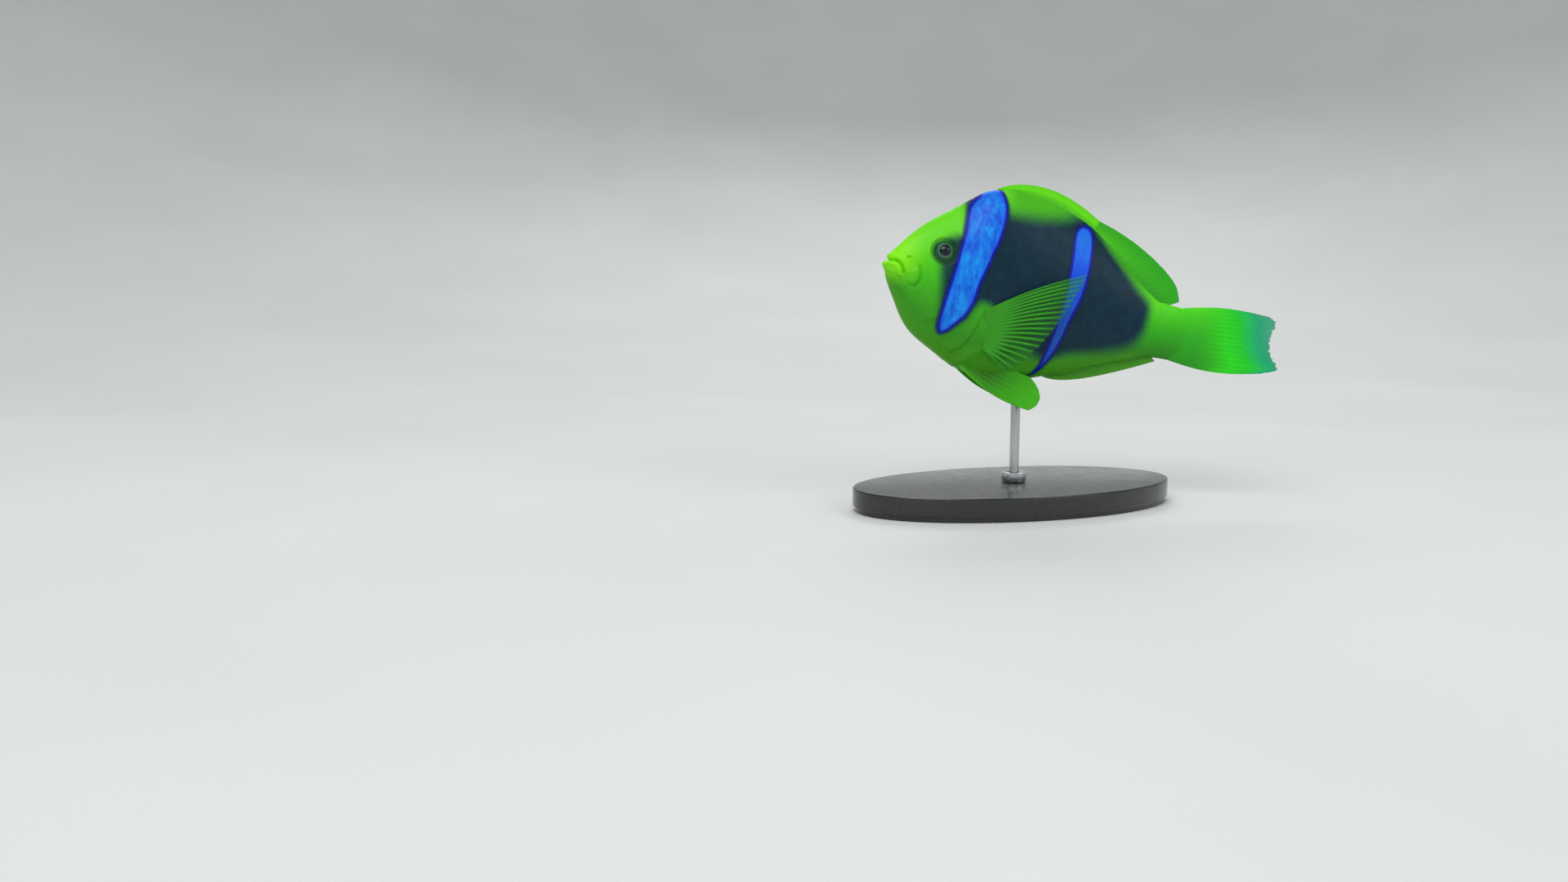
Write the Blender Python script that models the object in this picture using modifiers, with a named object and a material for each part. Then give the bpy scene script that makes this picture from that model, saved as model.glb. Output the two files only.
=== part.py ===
"""A two-banded anemonefish (a clownfish) as a still, life-size display model on a plain stand.

The fish is drawn in its own frame first: u runs from the lips to the tail along the midline, v to the
fish's right and w up. The midline bends towards the fish's left, and the whole fish hangs on an empty
that tilts it nose up over the stand. The world's -X is ahead, +Z is up, and its origin is the middle of
the stand's underside.
"""

import math

import bmesh
import bpy
from mathutils import Matrix, Vector

# Driving dimensions, in metres and degrees.
STANDARD_LENGTH = 0.096  # lips to the root of the tail fin
TAIL_FIN = 0.30  # tail fin's length, as a share of the standard length
TAIL_BEND = math.radians(29.5)  # how far the tail's tip is turned to the fish's left
NOSE_UP = math.radians(12.5)
SNOUT_HEIGHT = 0.0705  # the lips above the floor
GAP = 0.0003  # between any two pieces
FIN_THICK = 0.0007
SIDES = (("left", -1), ("right", 1))

# Frames of the body from lips to tail root, as a boat's hull is lofted. Each gives the station, the
# back, the belly and the half width, all as shares of the standard length.
FRAMES = [
    (0.000, 0.008, -0.004, 0.006),
    (0.012, 0.038, -0.028, 0.022),
    (0.030, 0.065, -0.058, 0.034),
    (0.060, 0.104, -0.100, 0.047),
    (0.092, 0.140, -0.143, 0.060),
    (0.130, 0.174, -0.177, 0.072),
    (0.200, 0.228, -0.212, 0.089),
    (0.280, 0.289, -0.245, 0.101),
    (0.360, 0.303, -0.258, 0.105),
    (0.450, 0.295, -0.254, 0.102),
    (0.530, 0.281, -0.236, 0.094),
    (0.610, 0.257, -0.205, 0.082),
    (0.700, 0.207, -0.162, 0.066),
    (0.780, 0.147, -0.127, 0.050),
    (0.850, 0.102, -0.103, 0.037),
    (0.920, 0.084, -0.091, 0.027),
    (1.000, 0.085, -0.092, 0.014),
]
WIDEST_AT = 0.46  # height of the widest level, as a share of the depth
BACK_KEEL = 1.18  # over 1 makes the back sharper than an ellipse
BODY_AROUND = 28
BODY_ALONG = 34
STATION_CROWDING = 1.5  # over 1 packs the rings towards the lips

# Eyes.
EYE_STATION = 0.157
EYE_HEIGHT = 0.0705
EYE_OUT = 0.0475
EYE_RADIUS = 0.035

# Cuts between head, trunk and tail root.
GILL_ARC = (-0.300, -0.020, 0.602)  # centre's station and height, and radius
TAIL_ROOT_CUT = 0.865
PAST_THE_BODY = 0.36  # how far from the midline the cuts reach
MOUTH_LINE = [(-0.050, 0.008), (0.010, 0.016), (0.045, 0.010), (0.074, -0.008)]
CHIN_LINE = [(0.084, -0.036), (0.050, -0.180)]
COVER_EDGE = [(0.360, 0.105), (0.265, 0.105), (0.212, 0.075), (0.215, 0.010), (0.212, -0.055)]
COVER_FOOT = [(0.190, -0.112), (0.180, -0.155), (0.215, -0.186), (0.320, -0.180)]
COVER_DEPTH = 0.056  # how near to the midline the gill covers reach

# Fins on the midline: where the rays leave the body, and where they end, front to back.
DORSAL_SPINES_ROOT = [(0.310, 0.270), (0.400, 0.275), (0.500, 0.262), (0.618, 0.228)]
DORSAL_SPINES_EDGE = [
    (0.302, 0.298),
    (0.348, 0.321),
    (0.403, 0.334),
    (0.462, 0.3375),
    (0.525, 0.329),
    (0.590, 0.309),
    (0.645, 0.2815),
]
DORSAL_RAYS_ROOT = [(0.6225, 0.2265), (0.720, 0.170), (0.800, 0.112), (0.880, 0.070)]
DORSAL_RAYS_EDGE = [
    (0.6495, 0.2815),
    (0.720, 0.263),
    (0.800, 0.232),
    (0.880, 0.188),
    (0.935, 0.143),
    (0.958, 0.096),
]
DORSAL_SWEEPS = ((0.05, 0.05), (0.05, 0.08))  # how far the first and last of the spines, and of the rays, bow
ANAL_ROOT = [(0.574, -0.187), (0.680, -0.145), (0.780, -0.105), (0.875, -0.072)]
ANAL_EDGE = [
    (0.566, -0.216),
    (0.606, -0.2205),
    (0.660, -0.213),
    (0.740, -0.187),
    (0.840, -0.142),
    (0.925, -0.099),
]
ANAL_SWEEP = (-0.06, -0.06)
CAUDAL_ROOT = [(0.960, 0.076), (0.965, 0.024), (0.965, -0.032), (0.960, -0.086)]
CAUDAL_EDGE = [
    (1.240, 0.106),
    (1.262, 0.091),
    (1.250, 0.058),
    (1.248, 0.024),
    (1.264, -0.010),
    (1.300, -0.046),
    (1.255, -0.068),
]
CAUDAL_SWEEP = (-0.05, 0.06)

# Paired fins: the root's two ends (station, height and distance out), the fan's angles above the midline,
# how far the fan stands off the body, how far its first ray bows, and the rays' lengths from front to back.
PECTORAL_ROOT = [(0.302, -0.069, 0.097), (0.335, -0.178, 0.0735)]
PECTORAL_FAN = [31.0, 27.8, 23.5, 17.0, 8.0, -7.0, -32.0]
PECTORAL_OUT = 15.0
PECTORAL_BOW = 0.013
PECTORAL_CUP = 0.03  # how far its tips turn back towards the body
PECTORAL_RAYS = [0.328, 0.305, 0.267, 0.231, 0.190, 0.146, 0.098]
PELVIC_ROOT = [(0.285, -0.236, 0.024), (0.318, -0.190, 0.022)]
PELVIC_FAN = [-20.5, -11.0]
PELVIC_RIGHT_RAISED = 4.5  # degrees, so that the left fin hides the right
PELVIC_OUT = 8.0
PELVIC_BOW = -0.020
PELVIC_RAYS = [0.268, 0.277, 0.278, 0.268, 0.245, 0.210]
PLEAT = 0.0013  # height of the folds from ray to ray, as a share of the standard length

# Stand.
BASE_LENGTH = 0.100
BASE_WIDTH = 0.052
BASE_HEIGHT = 0.007
BASE_EDGE = 0.0012
ROD_RADIUS = 0.0014
ROD_STATION = 0.500
ROD_BELLY = -0.245
RING_RADIUS = 0.0036
RING_HEIGHT = 0.0026

COLOURS = {
    "fish_yellow": ((0.40, 0.75, 0.05, 1.0), 0.38, 0.0),
    "fish_dark": ((0.012, 0.030, 0.045, 1.0), 0.40, 0.0),
    "fin_yellow": ((0.30, 0.66, 0.06, 1.0), 0.35, 0.0),
    "eye": ((0.010, 0.020, 0.022, 1.0), 0.10, 0.0),
    "black_lacquer": ((0.012, 0.012, 0.013, 1.0), 0.35, 0.0),
    "steel": ((0.60, 0.60, 0.62, 1.0), 0.28, 1.0),
}


def clear_scene():
    for obj in list(bpy.data.objects):
        bpy.data.objects.remove(obj)


def new_collection(name):
    made = bpy.data.collections.new(name)
    bpy.context.scene.collection.children.link(made)
    return made


def new_material(name):
    colour, roughness, metallic = COLOURS[name]
    made = bpy.data.materials.new(name)
    made.use_nodes = True
    shader = made.node_tree.nodes["Principled BSDF"]
    shader.inputs["Base Color"].default_value = colour
    shader.inputs["Roughness"].default_value = roughness
    shader.inputs["Metallic"].default_value = metallic
    return made


def smooth_through(points, at):
    """The value at `at` on a smooth curve through points, whose first number is the place along it."""
    last = len(points) - 1
    i = max(0, min(last - 1, sum(p[0] <= at for p in points) - 1))
    before, low, high, after = (points[max(0, min(last, k))] for k in (i - 1, i, i + 1, i + 2))
    span = high[0] - low[0]
    t = max(0.0, min(1.0, (at - low[0]) / span))
    found = []
    for k in range(1, len(low)):
        leave = (high[k] - before[k]) / (high[0] - before[0]) * span
        reach = (after[k] - low[k]) / (after[0] - low[0]) * span
        found.append(
            (2 * t**3 - 3 * t**2 + 1) * low[k]
            + (t**3 - 2 * t**2 + t) * leave
            + (3 * t**2 - 2 * t**3) * high[k]
            + (t**3 - t**2) * reach
        )
    return found


def share_along(points, share):
    """The point at a share of the way along a smooth line through points, spaced evenly in share."""
    last = len(points) - 1
    return smooth_through([(k / last, *p) for k, p in enumerate(points)], share)


def heading_at(u):
    """Which way the midline points at a station: more to the fish's left the further back it is."""
    return -TAIL_BEND * (max(0.0, u) / (1.0 + TAIL_FIN)) ** 2


def bent(u, v, w):
    """A point of the straight fish, as shares of the standard length, in the bent fish, in metres."""
    steps = 24
    headings = [heading_at(u * (k + 0.5) / steps) for k in range(steps)]
    x = sum(math.cos(heading) for heading in headings) * u / steps
    y = sum(math.sin(heading) for heading in headings) * u / steps
    across = heading_at(u)
    return Vector((x - math.sin(across) * v, y + math.cos(across) * v, w)) * STANDARD_LENGTH


def finish(name, mesh, material, collection, parent=None):
    obj = bpy.data.objects.new(name, mesh)
    collection.objects.link(obj)
    obj.parent = parent
    if material:
        mesh.materials.clear()
        mesh.materials.append(material)
        mesh.shade_smooth()
        mesh.set_sharp_from_angle(angle=math.radians(35))
    else:
        obj.hide_render = True
        obj.display_type = "WIRE"
    return obj


def mesh_from(bm, name):
    bmesh.ops.recalc_face_normals(bm, faces=bm.faces)
    if bm.calc_volume(signed=True) < 0:
        bmesh.ops.reverse_faces(bm, faces=bm.faces)
    mesh = bpy.data.meshes.new(name)
    bm.to_mesh(mesh)
    bm.free()
    return mesh


def applied(obj):
    """The object, with its modifiers applied to its mesh."""
    bpy.context.view_layer.update()
    graph = bpy.context.evaluated_depsgraph_get()
    mesh = bpy.data.meshes.new_from_object(obj.evaluated_get(graph))
    obj.modifiers.clear()
    obj.data = mesh
    return obj


def cut(obj, cutter):
    modifier = obj.modifiers.new("cut_by_" + cutter.name, "BOOLEAN")
    modifier.object = cutter
    return obj


def body_mesh(name, grow=0.0):
    """The whole body as one skin: a sphere whose rings become the body's frames, grown by a margin."""
    bm = bmesh.new()
    bmesh.ops.create_uvsphere(bm, u_segments=BODY_AROUND, v_segments=BODY_ALONG, radius=1.0)
    margin = grow / STANDARD_LENGTH
    for vert in bm.verts:
        along = math.acos(max(-1.0, min(1.0, vert.co.z))) / math.pi
        along = min(1.0, along * BODY_ALONG / (BODY_ALONG - 1))
        station = along**STATION_CROWDING
        around = math.atan2(vert.co.y, vert.co.x)
        at_pole = math.hypot(vert.co.x, vert.co.y) < 1e-4
        back, belly, half = smooth_through(FRAMES, station)
        middle = belly + WIDEST_AT * (back - belly)
        side, rise = math.cos(around), math.sin(around)
        reach = (back - middle if rise > 0 else middle - belly) + margin
        keel = BACK_KEEL if rise > 0 else 1.0
        v = 0.0 if at_pole else math.copysign(abs(side) ** keel, side) * (half + margin)
        w = middle if at_pole else middle + rise * reach
        end = -margin if along == 0.0 else (margin if along == 1.0 else 0.0)
        vert.co = bent(station + end, v, w)
    return mesh_from(bm, name)


def wall(name, outline, low, high, collection, parent, closed=False):
    """A sheet that stands on an outline in the fish's side view, from v low to v high, all in shares.
    A closed outline's sheet has a floor at high."""
    bm = bmesh.new()
    rim = [bm.verts.new(Vector((u, low, w)) * STANDARD_LENGTH) for u, w in outline]
    pairs = list(zip(rim, rim[1:] + rim[:1]))
    edges = [bm.edges.new(pair) for pair in (pairs if closed else pairs[:-1])]
    raised = bmesh.ops.extrude_edge_only(bm, edges=edges)["geom"]
    far = [part for part in raised if isinstance(part, bmesh.types.BMVert)]
    bmesh.ops.translate(bm, verts=far, vec=Vector((0.0, high - low, 0.0)) * STANDARD_LENGTH)
    if closed:
        bmesh.ops.edgenet_fill(bm, edges=[e for e in bm.edges if e.verts[0] in far and e.verts[1] in far])
    return finish(name, mesh_from(bm, name), None, collection, parent)


def thin_cut(obj):
    """Makes an open sheet into a cutter as thick as the gap between two pieces."""
    sheet = obj.modifiers.new("gap", "SOLIDIFY")
    sheet.thickness = GAP
    sheet.offset = 0.0
    sheet.use_even_offset = True
    return applied(obj)


def arc_line(arc, low, high, count):
    """Points on the rear side of an arc, from height low to height high."""
    centre_u, centre_w, radius = arc
    first, last = (math.asin((w - centre_w) / radius) for w in (low, high))
    angles = [first + (last - first) * k / (count - 1) for k in range(count)]
    return [(centre_u + radius * math.cos(a), centre_w + radius * math.sin(a)) for a in angles]


def sheet_cutters(collection, parent):
    """Thin cutters along the gill openings, the mouth and the tail root."""
    across = (-PAST_THE_BODY, PAST_THE_BODY)
    gill = arc_line(GILL_ARC, -PAST_THE_BODY, PAST_THE_BODY, 22)
    mouth = [share_along([*MOUTH_LINE, *CHIN_LINE], k / 20) for k in range(21)]
    sheets = [
        wall("gill_cut", gill, *across, collection, parent),
        wall("mouth_cut", mouth, *across, collection, parent),
        wall("tail_root_cut", [(0.0, -PAST_THE_BODY), (0.0, PAST_THE_BODY)], *across, collection, parent),
    ]
    turn = Matrix.Rotation(heading_at(TAIL_ROOT_CUT), 4, "Z")
    sheets[-1].data.transform(Matrix.Translation(bent(TAIL_ROOT_CUT, 0.0, 0.0)) @ turn)
    return [thin_cut(sheet) for sheet in sheets]


def cover_cutters(collection, parent):
    """Thin cutters round the gill covers' front, top and foot. Their rear edges are the gill openings."""
    outline = [*COVER_EDGE, *COVER_FOOT]
    rim = [share_along(outline, k / 24) for k in range(25)]
    sheets = []
    for name, side in SIDES:
        reach = (side * PAST_THE_BODY, side * COVER_DEPTH)
        sheets.append(wall(f"cover_cut_{name}", rim, *reach, collection, parent, closed=True))
    return [thin_cut(sheet) for sheet in sheets]


def eye_mesh(name, side, grow=0.0):
    bm = bmesh.new()
    radius = EYE_RADIUS * STANDARD_LENGTH + grow
    bmesh.ops.create_uvsphere(bm, u_segments=20, v_segments=12, radius=radius)
    place = Matrix.Translation(bent(EYE_STATION, side * EYE_OUT, EYE_HEIGHT))
    bmesh.ops.transform(bm, matrix=place @ Matrix.Rotation(math.pi / 2, 4, "X"), verts=bm.verts)
    return mesh_from(bm, name)


def loose_pieces(mesh):
    """The mesh's separate bodies, each as the set of its vertices' indices."""
    bm = bmesh.new()
    bm.from_mesh(mesh)
    left = set(bm.verts)
    pieces = []
    while left:
        edge = [left.pop()]
        piece = set()
        while edge:
            vert = edge.pop()
            piece.add(vert.index)
            near = {e.other_vert(vert) for e in vert.link_edges} & left
            left -= near
            edge.extend(near)
        pieces.append(piece)
    bm.free()
    return pieces


def split(whole, places, parts, fish, materials):
    """Parts a cut body into its separate pieces, and names each by the place nearest to its middle."""
    points = [vert.co.copy() for vert in whole.data.vertices]
    pieces = loose_pieces(whole.data)
    made = {}
    for name, place in places.items():
        goal = bent(*place)

        def off(piece):
            middle = sum((points[k] for k in piece), Vector()) / len(piece)
            return (middle - goal).length

        mine = min(pieces, key=off)
        bm = bmesh.new()
        bm.from_mesh(whole.data)
        bmesh.ops.delete(bm, geom=[v for v in bm.verts if v.index not in mine], context="VERTS")
        material = materials["fish_dark" if name == "trunk" else "fish_yellow"]
        made[name] = finish(name, mesh_from(bm, name), material, parts, fish)
    return made


def fin(name, point, rays, rows, parts, fish, material, clear):
    """A fin: a grid with two columns for each ray, folded a little from ray to ray and given thickness."""
    bm = bmesh.new()
    columns = 2 * rays
    bmesh.ops.create_grid(bm, x_segments=columns, y_segments=rows, size=1.0)
    for vert in bm.verts:
        a, t = (vert.co.x + 1) / 2, (vert.co.y + 1) / 2
        fold = PLEAT * t * math.cos(math.pi * round(a * columns))
        vert.co = point(a, t, fold)
    obj = finish(name, mesh_from(bm, name), material, parts, fish)
    sheet = obj.modifiers.new("thickness", "SOLIDIFY")
    sheet.thickness = FIN_THICK
    sheet.offset = 0.0
    return cut(obj, clear)


def midline_fin(root, edge, sweeps):
    """The point of a fin on the midline at share a from front to back and t from root to edge. The sweeps bow
    its first and last rays."""

    def point(a, t, fold):
        start, end = Vector(share_along(root, a)), Vector(share_along(edge, a))
        along = end - start
        sweep = sweeps[0] + (sweeps[1] - sweeps[0]) * a
        across = Vector((along.y, -along.x)) * sweep * math.sin(math.pi * t)
        place = start + along * t + across
        return bent(place.x, fold, place.y)

    return point


def paired_fin(root, fan, out, bow, lengths, side, cup):
    """The point of the left (side -1) or right (side 1) fin of a pair."""

    def point(a, t, fold):
        start = Vector(root[0]).lerp(Vector(root[1]), a)
        length = share_along([(k,) for k in lengths], a)[0]
        angle = math.radians(share_along([(k,) for k in fan], a)[0])
        off = math.radians(out)
        ahead = length * t * math.cos(off)
        u = start.x + ahead * math.cos(angle)
        w = start.y + ahead * math.sin(angle) + bow * (1.0 - a) * math.sin(math.pi * t)
        v = start.z + length * t * math.sin(off) - cup * length * t * t + fold
        return bent(u, side * v, w)

    return point


def build_fins(parts, fish, materials, clear):
    yellow = materials["fin_yellow"]
    spiny = midline_fin(DORSAL_SPINES_ROOT, DORSAL_SPINES_EDGE, DORSAL_SWEEPS[0])
    fin("dorsal_fin_spines", spiny, 10, 3, parts, fish, yellow, clear)
    soft = midline_fin(DORSAL_RAYS_ROOT, DORSAL_RAYS_EDGE, DORSAL_SWEEPS[1])
    fin("dorsal_fin_rays", soft, 14, 4, parts, fish, yellow, clear)
    anal = midline_fin(ANAL_ROOT, ANAL_EDGE, ANAL_SWEEP)
    fin("anal_fin", anal, 13, 3, parts, fish, yellow, clear)
    caudal = midline_fin(CAUDAL_ROOT, CAUDAL_EDGE, CAUDAL_SWEEP)
    fin("caudal_fin", caudal, 15, 6, parts, fish, yellow, clear)
    for name, side in SIDES:
        shape = (PECTORAL_ROOT, PECTORAL_FAN, PECTORAL_OUT, PECTORAL_BOW, PECTORAL_RAYS)
        pectoral = paired_fin(*shape, side, PECTORAL_CUP)
        fin(f"pectoral_fin_{name}", pectoral, 14, 5, parts, fish, yellow, clear)
        fan = [angle + PELVIC_RIGHT_RAISED * (side > 0) for angle in PELVIC_FAN]
        shape = (PELVIC_ROOT, fan, PELVIC_OUT, PELVIC_BOW, PELVIC_RAYS)
        pelvic = paired_fin(*shape, side, 0.0)
        fin(f"pelvic_fin_{name}", pelvic, 6, 5, parts, fish, yellow, clear)


def build_fish(parts, cutters, materials, fish):
    body = finish("body_form", body_mesh("body_form"), None, cutters, fish)
    clear = finish("body_clearance", body_mesh("body_clearance", GAP), None, cutters, fish)
    for sheet in sheet_cutters(cutters, fish):
        cut(body, sheet)
    for name, side in SIDES:
        socket = eye_mesh(f"eye_socket_{name}", side, GAP)
        cut(body, finish(socket.name, socket, None, cutters, fish))
        eye = eye_mesh(f"eye_{name}", side)
        finish(eye.name, eye, materials["eye"], parts, fish)
    places = {
        "lower_jaw": (0.040, 0.0, -0.040),
        "head_form": (0.180, 0.0, 0.020),
        "trunk": (0.560, 0.0, 0.020),
        "tail_root": (0.930, 0.0, 0.000),
    }
    head = split(applied(body), places, parts, fish, materials)["head_form"]
    for sheet in cover_cutters(cutters, fish):
        cut(head, sheet)
    places = {
        "head": (0.180, 0.0, 0.020),
        "gill_cover_left": (0.290, -0.080, -0.020),
        "gill_cover_right": (0.290, 0.080, -0.020),
    }
    split(applied(head), places, parts, fish, materials)
    bpy.data.objects.remove(head)
    build_fins(parts, fish, materials, clear)
    return clear


def build_base(parts, material):
    """An oval lacquered board with a rounded edge."""
    bm = bmesh.new()
    bmesh.ops.create_cone(bm, cap_ends=True, segments=64, radius1=0.5, radius2=0.5, depth=1.0)
    size = Matrix.Diagonal((BASE_LENGTH, BASE_WIDTH, BASE_HEIGHT, 1.0))
    bmesh.ops.transform(bm, matrix=Matrix.Translation((0, 0, BASE_HEIGHT / 2)) @ size, verts=bm.verts)
    base = finish("stand_base", mesh_from(bm, "stand_base"), material, parts)
    edge = base.modifiers.new("rounded_edge", "BEVEL")
    edge.width = BASE_EDGE
    edge.segments = 3


def build_rod(parts, material, clear):
    """A steel rod from the base up to the belly, cut off just short of the skin."""
    foot = BASE_HEIGHT + GAP
    length = SNOUT_HEIGHT - foot
    bm = bmesh.new()
    bmesh.ops.create_cone(
        bm, cap_ends=True, segments=20, radius1=ROD_RADIUS, radius2=ROD_RADIUS, depth=length
    )
    bmesh.ops.translate(bm, verts=bm.verts, vec=(0, 0, foot + length / 2))
    cut(finish("stand_rod", mesh_from(bm, "stand_rod"), material, parts), clear)


def build_ring(parts, material):
    """A steel ring round the rod's foot."""
    bm = bmesh.new()
    bmesh.ops.create_cone(
        bm, cap_ends=False, segments=24, radius1=RING_RADIUS, radius2=RING_RADIUS, depth=RING_HEIGHT
    )
    bmesh.ops.translate(bm, verts=bm.verts, vec=(0, 0, BASE_HEIGHT + GAP + RING_HEIGHT / 2))
    ring = finish("stand_ring", mesh_from(bm, "stand_ring"), material, parts)
    sides = ring.modifiers.new("wall", "SOLIDIFY")
    sides.thickness = RING_RADIUS - ROD_RADIUS - GAP
    sides.offset = -1.0


def main():
    clear_scene()
    parts = new_collection("clownfish")
    cutters = new_collection("cutters")
    materials = {name: new_material(name) for name in COLOURS}
    fish = bpy.data.objects.new("fish", None)
    parts.objects.link(fish)
    fish.rotation_euler = (0.0, NOSE_UP, 0.0)
    over_rod = Matrix.Rotation(NOSE_UP, 4, "Y") @ bent(ROD_STATION, 0.0, ROD_BELLY)
    fish.location = (-over_rod.x, -over_rod.y, SNOUT_HEIGHT)
    clear = build_fish(parts, cutters, materials, fish)
    build_base(parts, materials["black_lacquer"])
    build_rod(parts, materials["steel"], clear)
    build_ring(parts, materials["steel"])


main()
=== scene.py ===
"""A two-banded anemonefish (a clownfish) as a life-size display model on its stand.

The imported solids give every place. The fish is drawn in a frame of its own, in millimetres: u runs from the
lips to the tail along the midline, v to the fish's right and w up. in_world() bends it and tilts it.
"""

import math

import bpy
import numpy as np
from mathutils import Matrix, Vector


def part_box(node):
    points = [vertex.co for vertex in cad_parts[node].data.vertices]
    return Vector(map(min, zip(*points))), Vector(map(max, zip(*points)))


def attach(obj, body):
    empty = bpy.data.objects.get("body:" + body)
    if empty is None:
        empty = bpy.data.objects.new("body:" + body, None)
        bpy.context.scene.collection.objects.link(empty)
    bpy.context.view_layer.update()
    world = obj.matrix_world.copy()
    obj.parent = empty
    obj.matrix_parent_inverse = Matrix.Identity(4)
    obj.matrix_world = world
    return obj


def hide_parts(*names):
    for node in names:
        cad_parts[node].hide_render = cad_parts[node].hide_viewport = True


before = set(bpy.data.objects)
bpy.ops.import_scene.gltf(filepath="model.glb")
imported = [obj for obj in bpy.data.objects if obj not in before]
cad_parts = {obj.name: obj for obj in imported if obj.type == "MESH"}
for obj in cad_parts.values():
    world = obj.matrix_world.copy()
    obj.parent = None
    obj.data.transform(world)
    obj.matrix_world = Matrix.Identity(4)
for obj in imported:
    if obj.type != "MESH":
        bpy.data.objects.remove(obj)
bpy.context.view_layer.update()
bpy.ops.object.select_all(action="DESELECT")

# The view: a short lens a third of a metre from the fish, ahead of its left eye and looking a little down.
# The fish swims right of the middle and above it, with the floor wide around.
EYE_TO_CAMERA = Vector((-0.1442, -0.3185, -0.0046))
CAMERA_AZIMUTH = math.radians(-17.0)
CAMERA_DOWN = math.radians(8.0)
LENS = 28.0  # mm, on a 36 mm sensor

low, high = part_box("eye_left")
back = Vector(
    (
        math.sin(CAMERA_AZIMUTH) * math.cos(CAMERA_DOWN),
        -math.cos(CAMERA_AZIMUTH) * math.cos(CAMERA_DOWN),
        math.sin(CAMERA_DOWN),
    )
)
bpy.ops.object.camera_add(location=(low + high) / 2 + EYE_TO_CAMERA)
camera = bpy.context.object
camera.rotation_euler = back.to_track_quat("Z", "Y").to_euler()
camera.data.lens = LENS
camera.data.clip_start = 0.01
bpy.context.scene.camera = camera
bpy.context.scene.view_settings.view_transform = "Standard"

# The room: a pale matt floor that sweeps up all round into a plain wall, so that no horizon shows, under
# three large soft lamps and a bright, even sky.
FLOOR_RADIUS = 0.50
SWEEP = 1.60  # radius of the curve from floor to wall
SWEEP_STEPS = 16
WALL = 1.0
LAMPS_AIM = Vector((0.0, 0.0, 0.05))
LAMPS = {  # place, size and power
    "key": ((-0.45, -0.55, 1.00), 0.80, 7.5),
    "fill": ((0.62, -0.80, 0.66), 0.62, 2.1),
    "rim": ((0.35, 0.80, 0.85), 0.60, 3.5),
}


def linear(hex_colour):
    """An sRGB hex colour as the linear RGBA that a shader takes."""
    shares = [int(hex_colour[k : k + 2], 16) / 255 for k in (1, 3, 5)]
    return (*[s / 12.92 if s <= 0.04045 else ((s + 0.055) / 1.055) ** 2.4 for s in shares], 1.0)


def node(tree, kind, inputs=None, stops=None, **settings):
    """Adds a shader node. Its inputs go by name, or in their order as a list. Each takes a value, a hex
    colour, or a node or output to link. Stops are a ramp's colours, its two ends first."""
    made = tree.nodes.new("ShaderNode" + kind)
    for name, value in settings.items():
        setattr(made, name, value)
    for name, value in inputs.items() if isinstance(inputs, dict) else enumerate(inputs or []):
        if isinstance(value, bpy.types.Node):
            value = value.outputs[0]
        if isinstance(value, bpy.types.NodeSocket):
            tree.links.new(value, made.inputs[name])
        else:
            made.inputs[name].default_value = linear(value) if isinstance(value, str) else value
    for k, (place, colour) in enumerate(stops or []):
        ramp = made.color_ramp.elements
        stop = ramp[k] if k < 2 else ramp.new(place)
        stop.position, stop.color = place, linear(colour)
    return made


def new_material(name):
    """A material with only its output, and its node tree."""
    made = bpy.data.materials.new(name)
    made.use_nodes = True
    made.node_tree.nodes.clear()
    return made, made.node_tree


def edit(obj):
    """Opens an object in edit mode, with all of it selected."""
    bpy.ops.object.select_all(action="DESELECT")
    obj.select_set(True)
    bpy.context.view_layer.objects.active = obj
    bpy.ops.object.mode_set(mode="EDIT")
    bpy.ops.mesh.select_all(action="SELECT")


def edit_done():
    bpy.ops.object.mode_set(mode="OBJECT")
    bpy.ops.object.select_all(action="DESELECT")


def smoothed(obj, degrees=None):
    """Shades an object smooth, but for edges that turn by more than this angle, if one is given."""
    obj.select_set(True)
    if degrees:
        bpy.ops.object.shade_smooth_by_angle(angle=math.radians(degrees))
    else:
        bpy.ops.object.shade_smooth()
    bpy.ops.object.select_all(action="DESELECT")


bpy.ops.mesh.primitive_circle_add(vertices=96, radius=FLOOR_RADIUS, fill_type="NGON")
floor = bpy.context.object
floor.name = "floor"
edit(floor)
bpy.ops.mesh.select_mode(type="EDGE")
bpy.ops.mesh.region_to_loop()
for k in range(SWEEP_STEPS):
    before = math.radians(90 * k / SWEEP_STEPS)
    turned = math.radians(90 * (k + 1) / SWEEP_STEPS)
    grown = (FLOOR_RADIUS + SWEEP * math.sin(turned)) / (FLOOR_RADIUS + SWEEP * math.sin(before))
    bpy.ops.mesh.extrude_edges_move(
        TRANSFORM_OT_translate={"value": (0, 0, SWEEP * (math.cos(before) - math.cos(turned)))}
    )
    bpy.ops.transform.resize(value=(grown, grown, 1))
bpy.ops.mesh.extrude_edges_move(TRANSFORM_OT_translate={"value": (0, 0, WALL)})
edit_done()
smoothed(floor)

# Matt studio paper: no gloss, and only a breath of unevenness.
paper, tree = new_material("pale_studio_paper")
spot = node(tree, "TexCoord").outputs["Object"]
cloud = node(tree, "TexNoise", {"Vector": spot, "Scale": 6.0, "Detail": 2.0})
tint = node(tree, "ValToRGB", [cloud], stops=[(0.3, "#e2e4e3"), (0.7, "#e9eae8")])
finish = {"Base Color": tint, "Roughness": 0.85}
node(tree, "OutputMaterial", [node(tree, "BsdfPrincipled", finish)])
floor.data.materials.append(paper)

for name, (place, size, power) in LAMPS.items():
    bpy.ops.object.light_add(type="AREA", location=place)
    lamp = bpy.context.object
    lamp.name = name + "_lamp"
    lamp.rotation_euler = (Vector(place) - LAMPS_AIM).to_track_quat("Z", "Y").to_euler()
    lamp.data.size = size
    lamp.data.energy = power
    lamp.visible_camera = False

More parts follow.
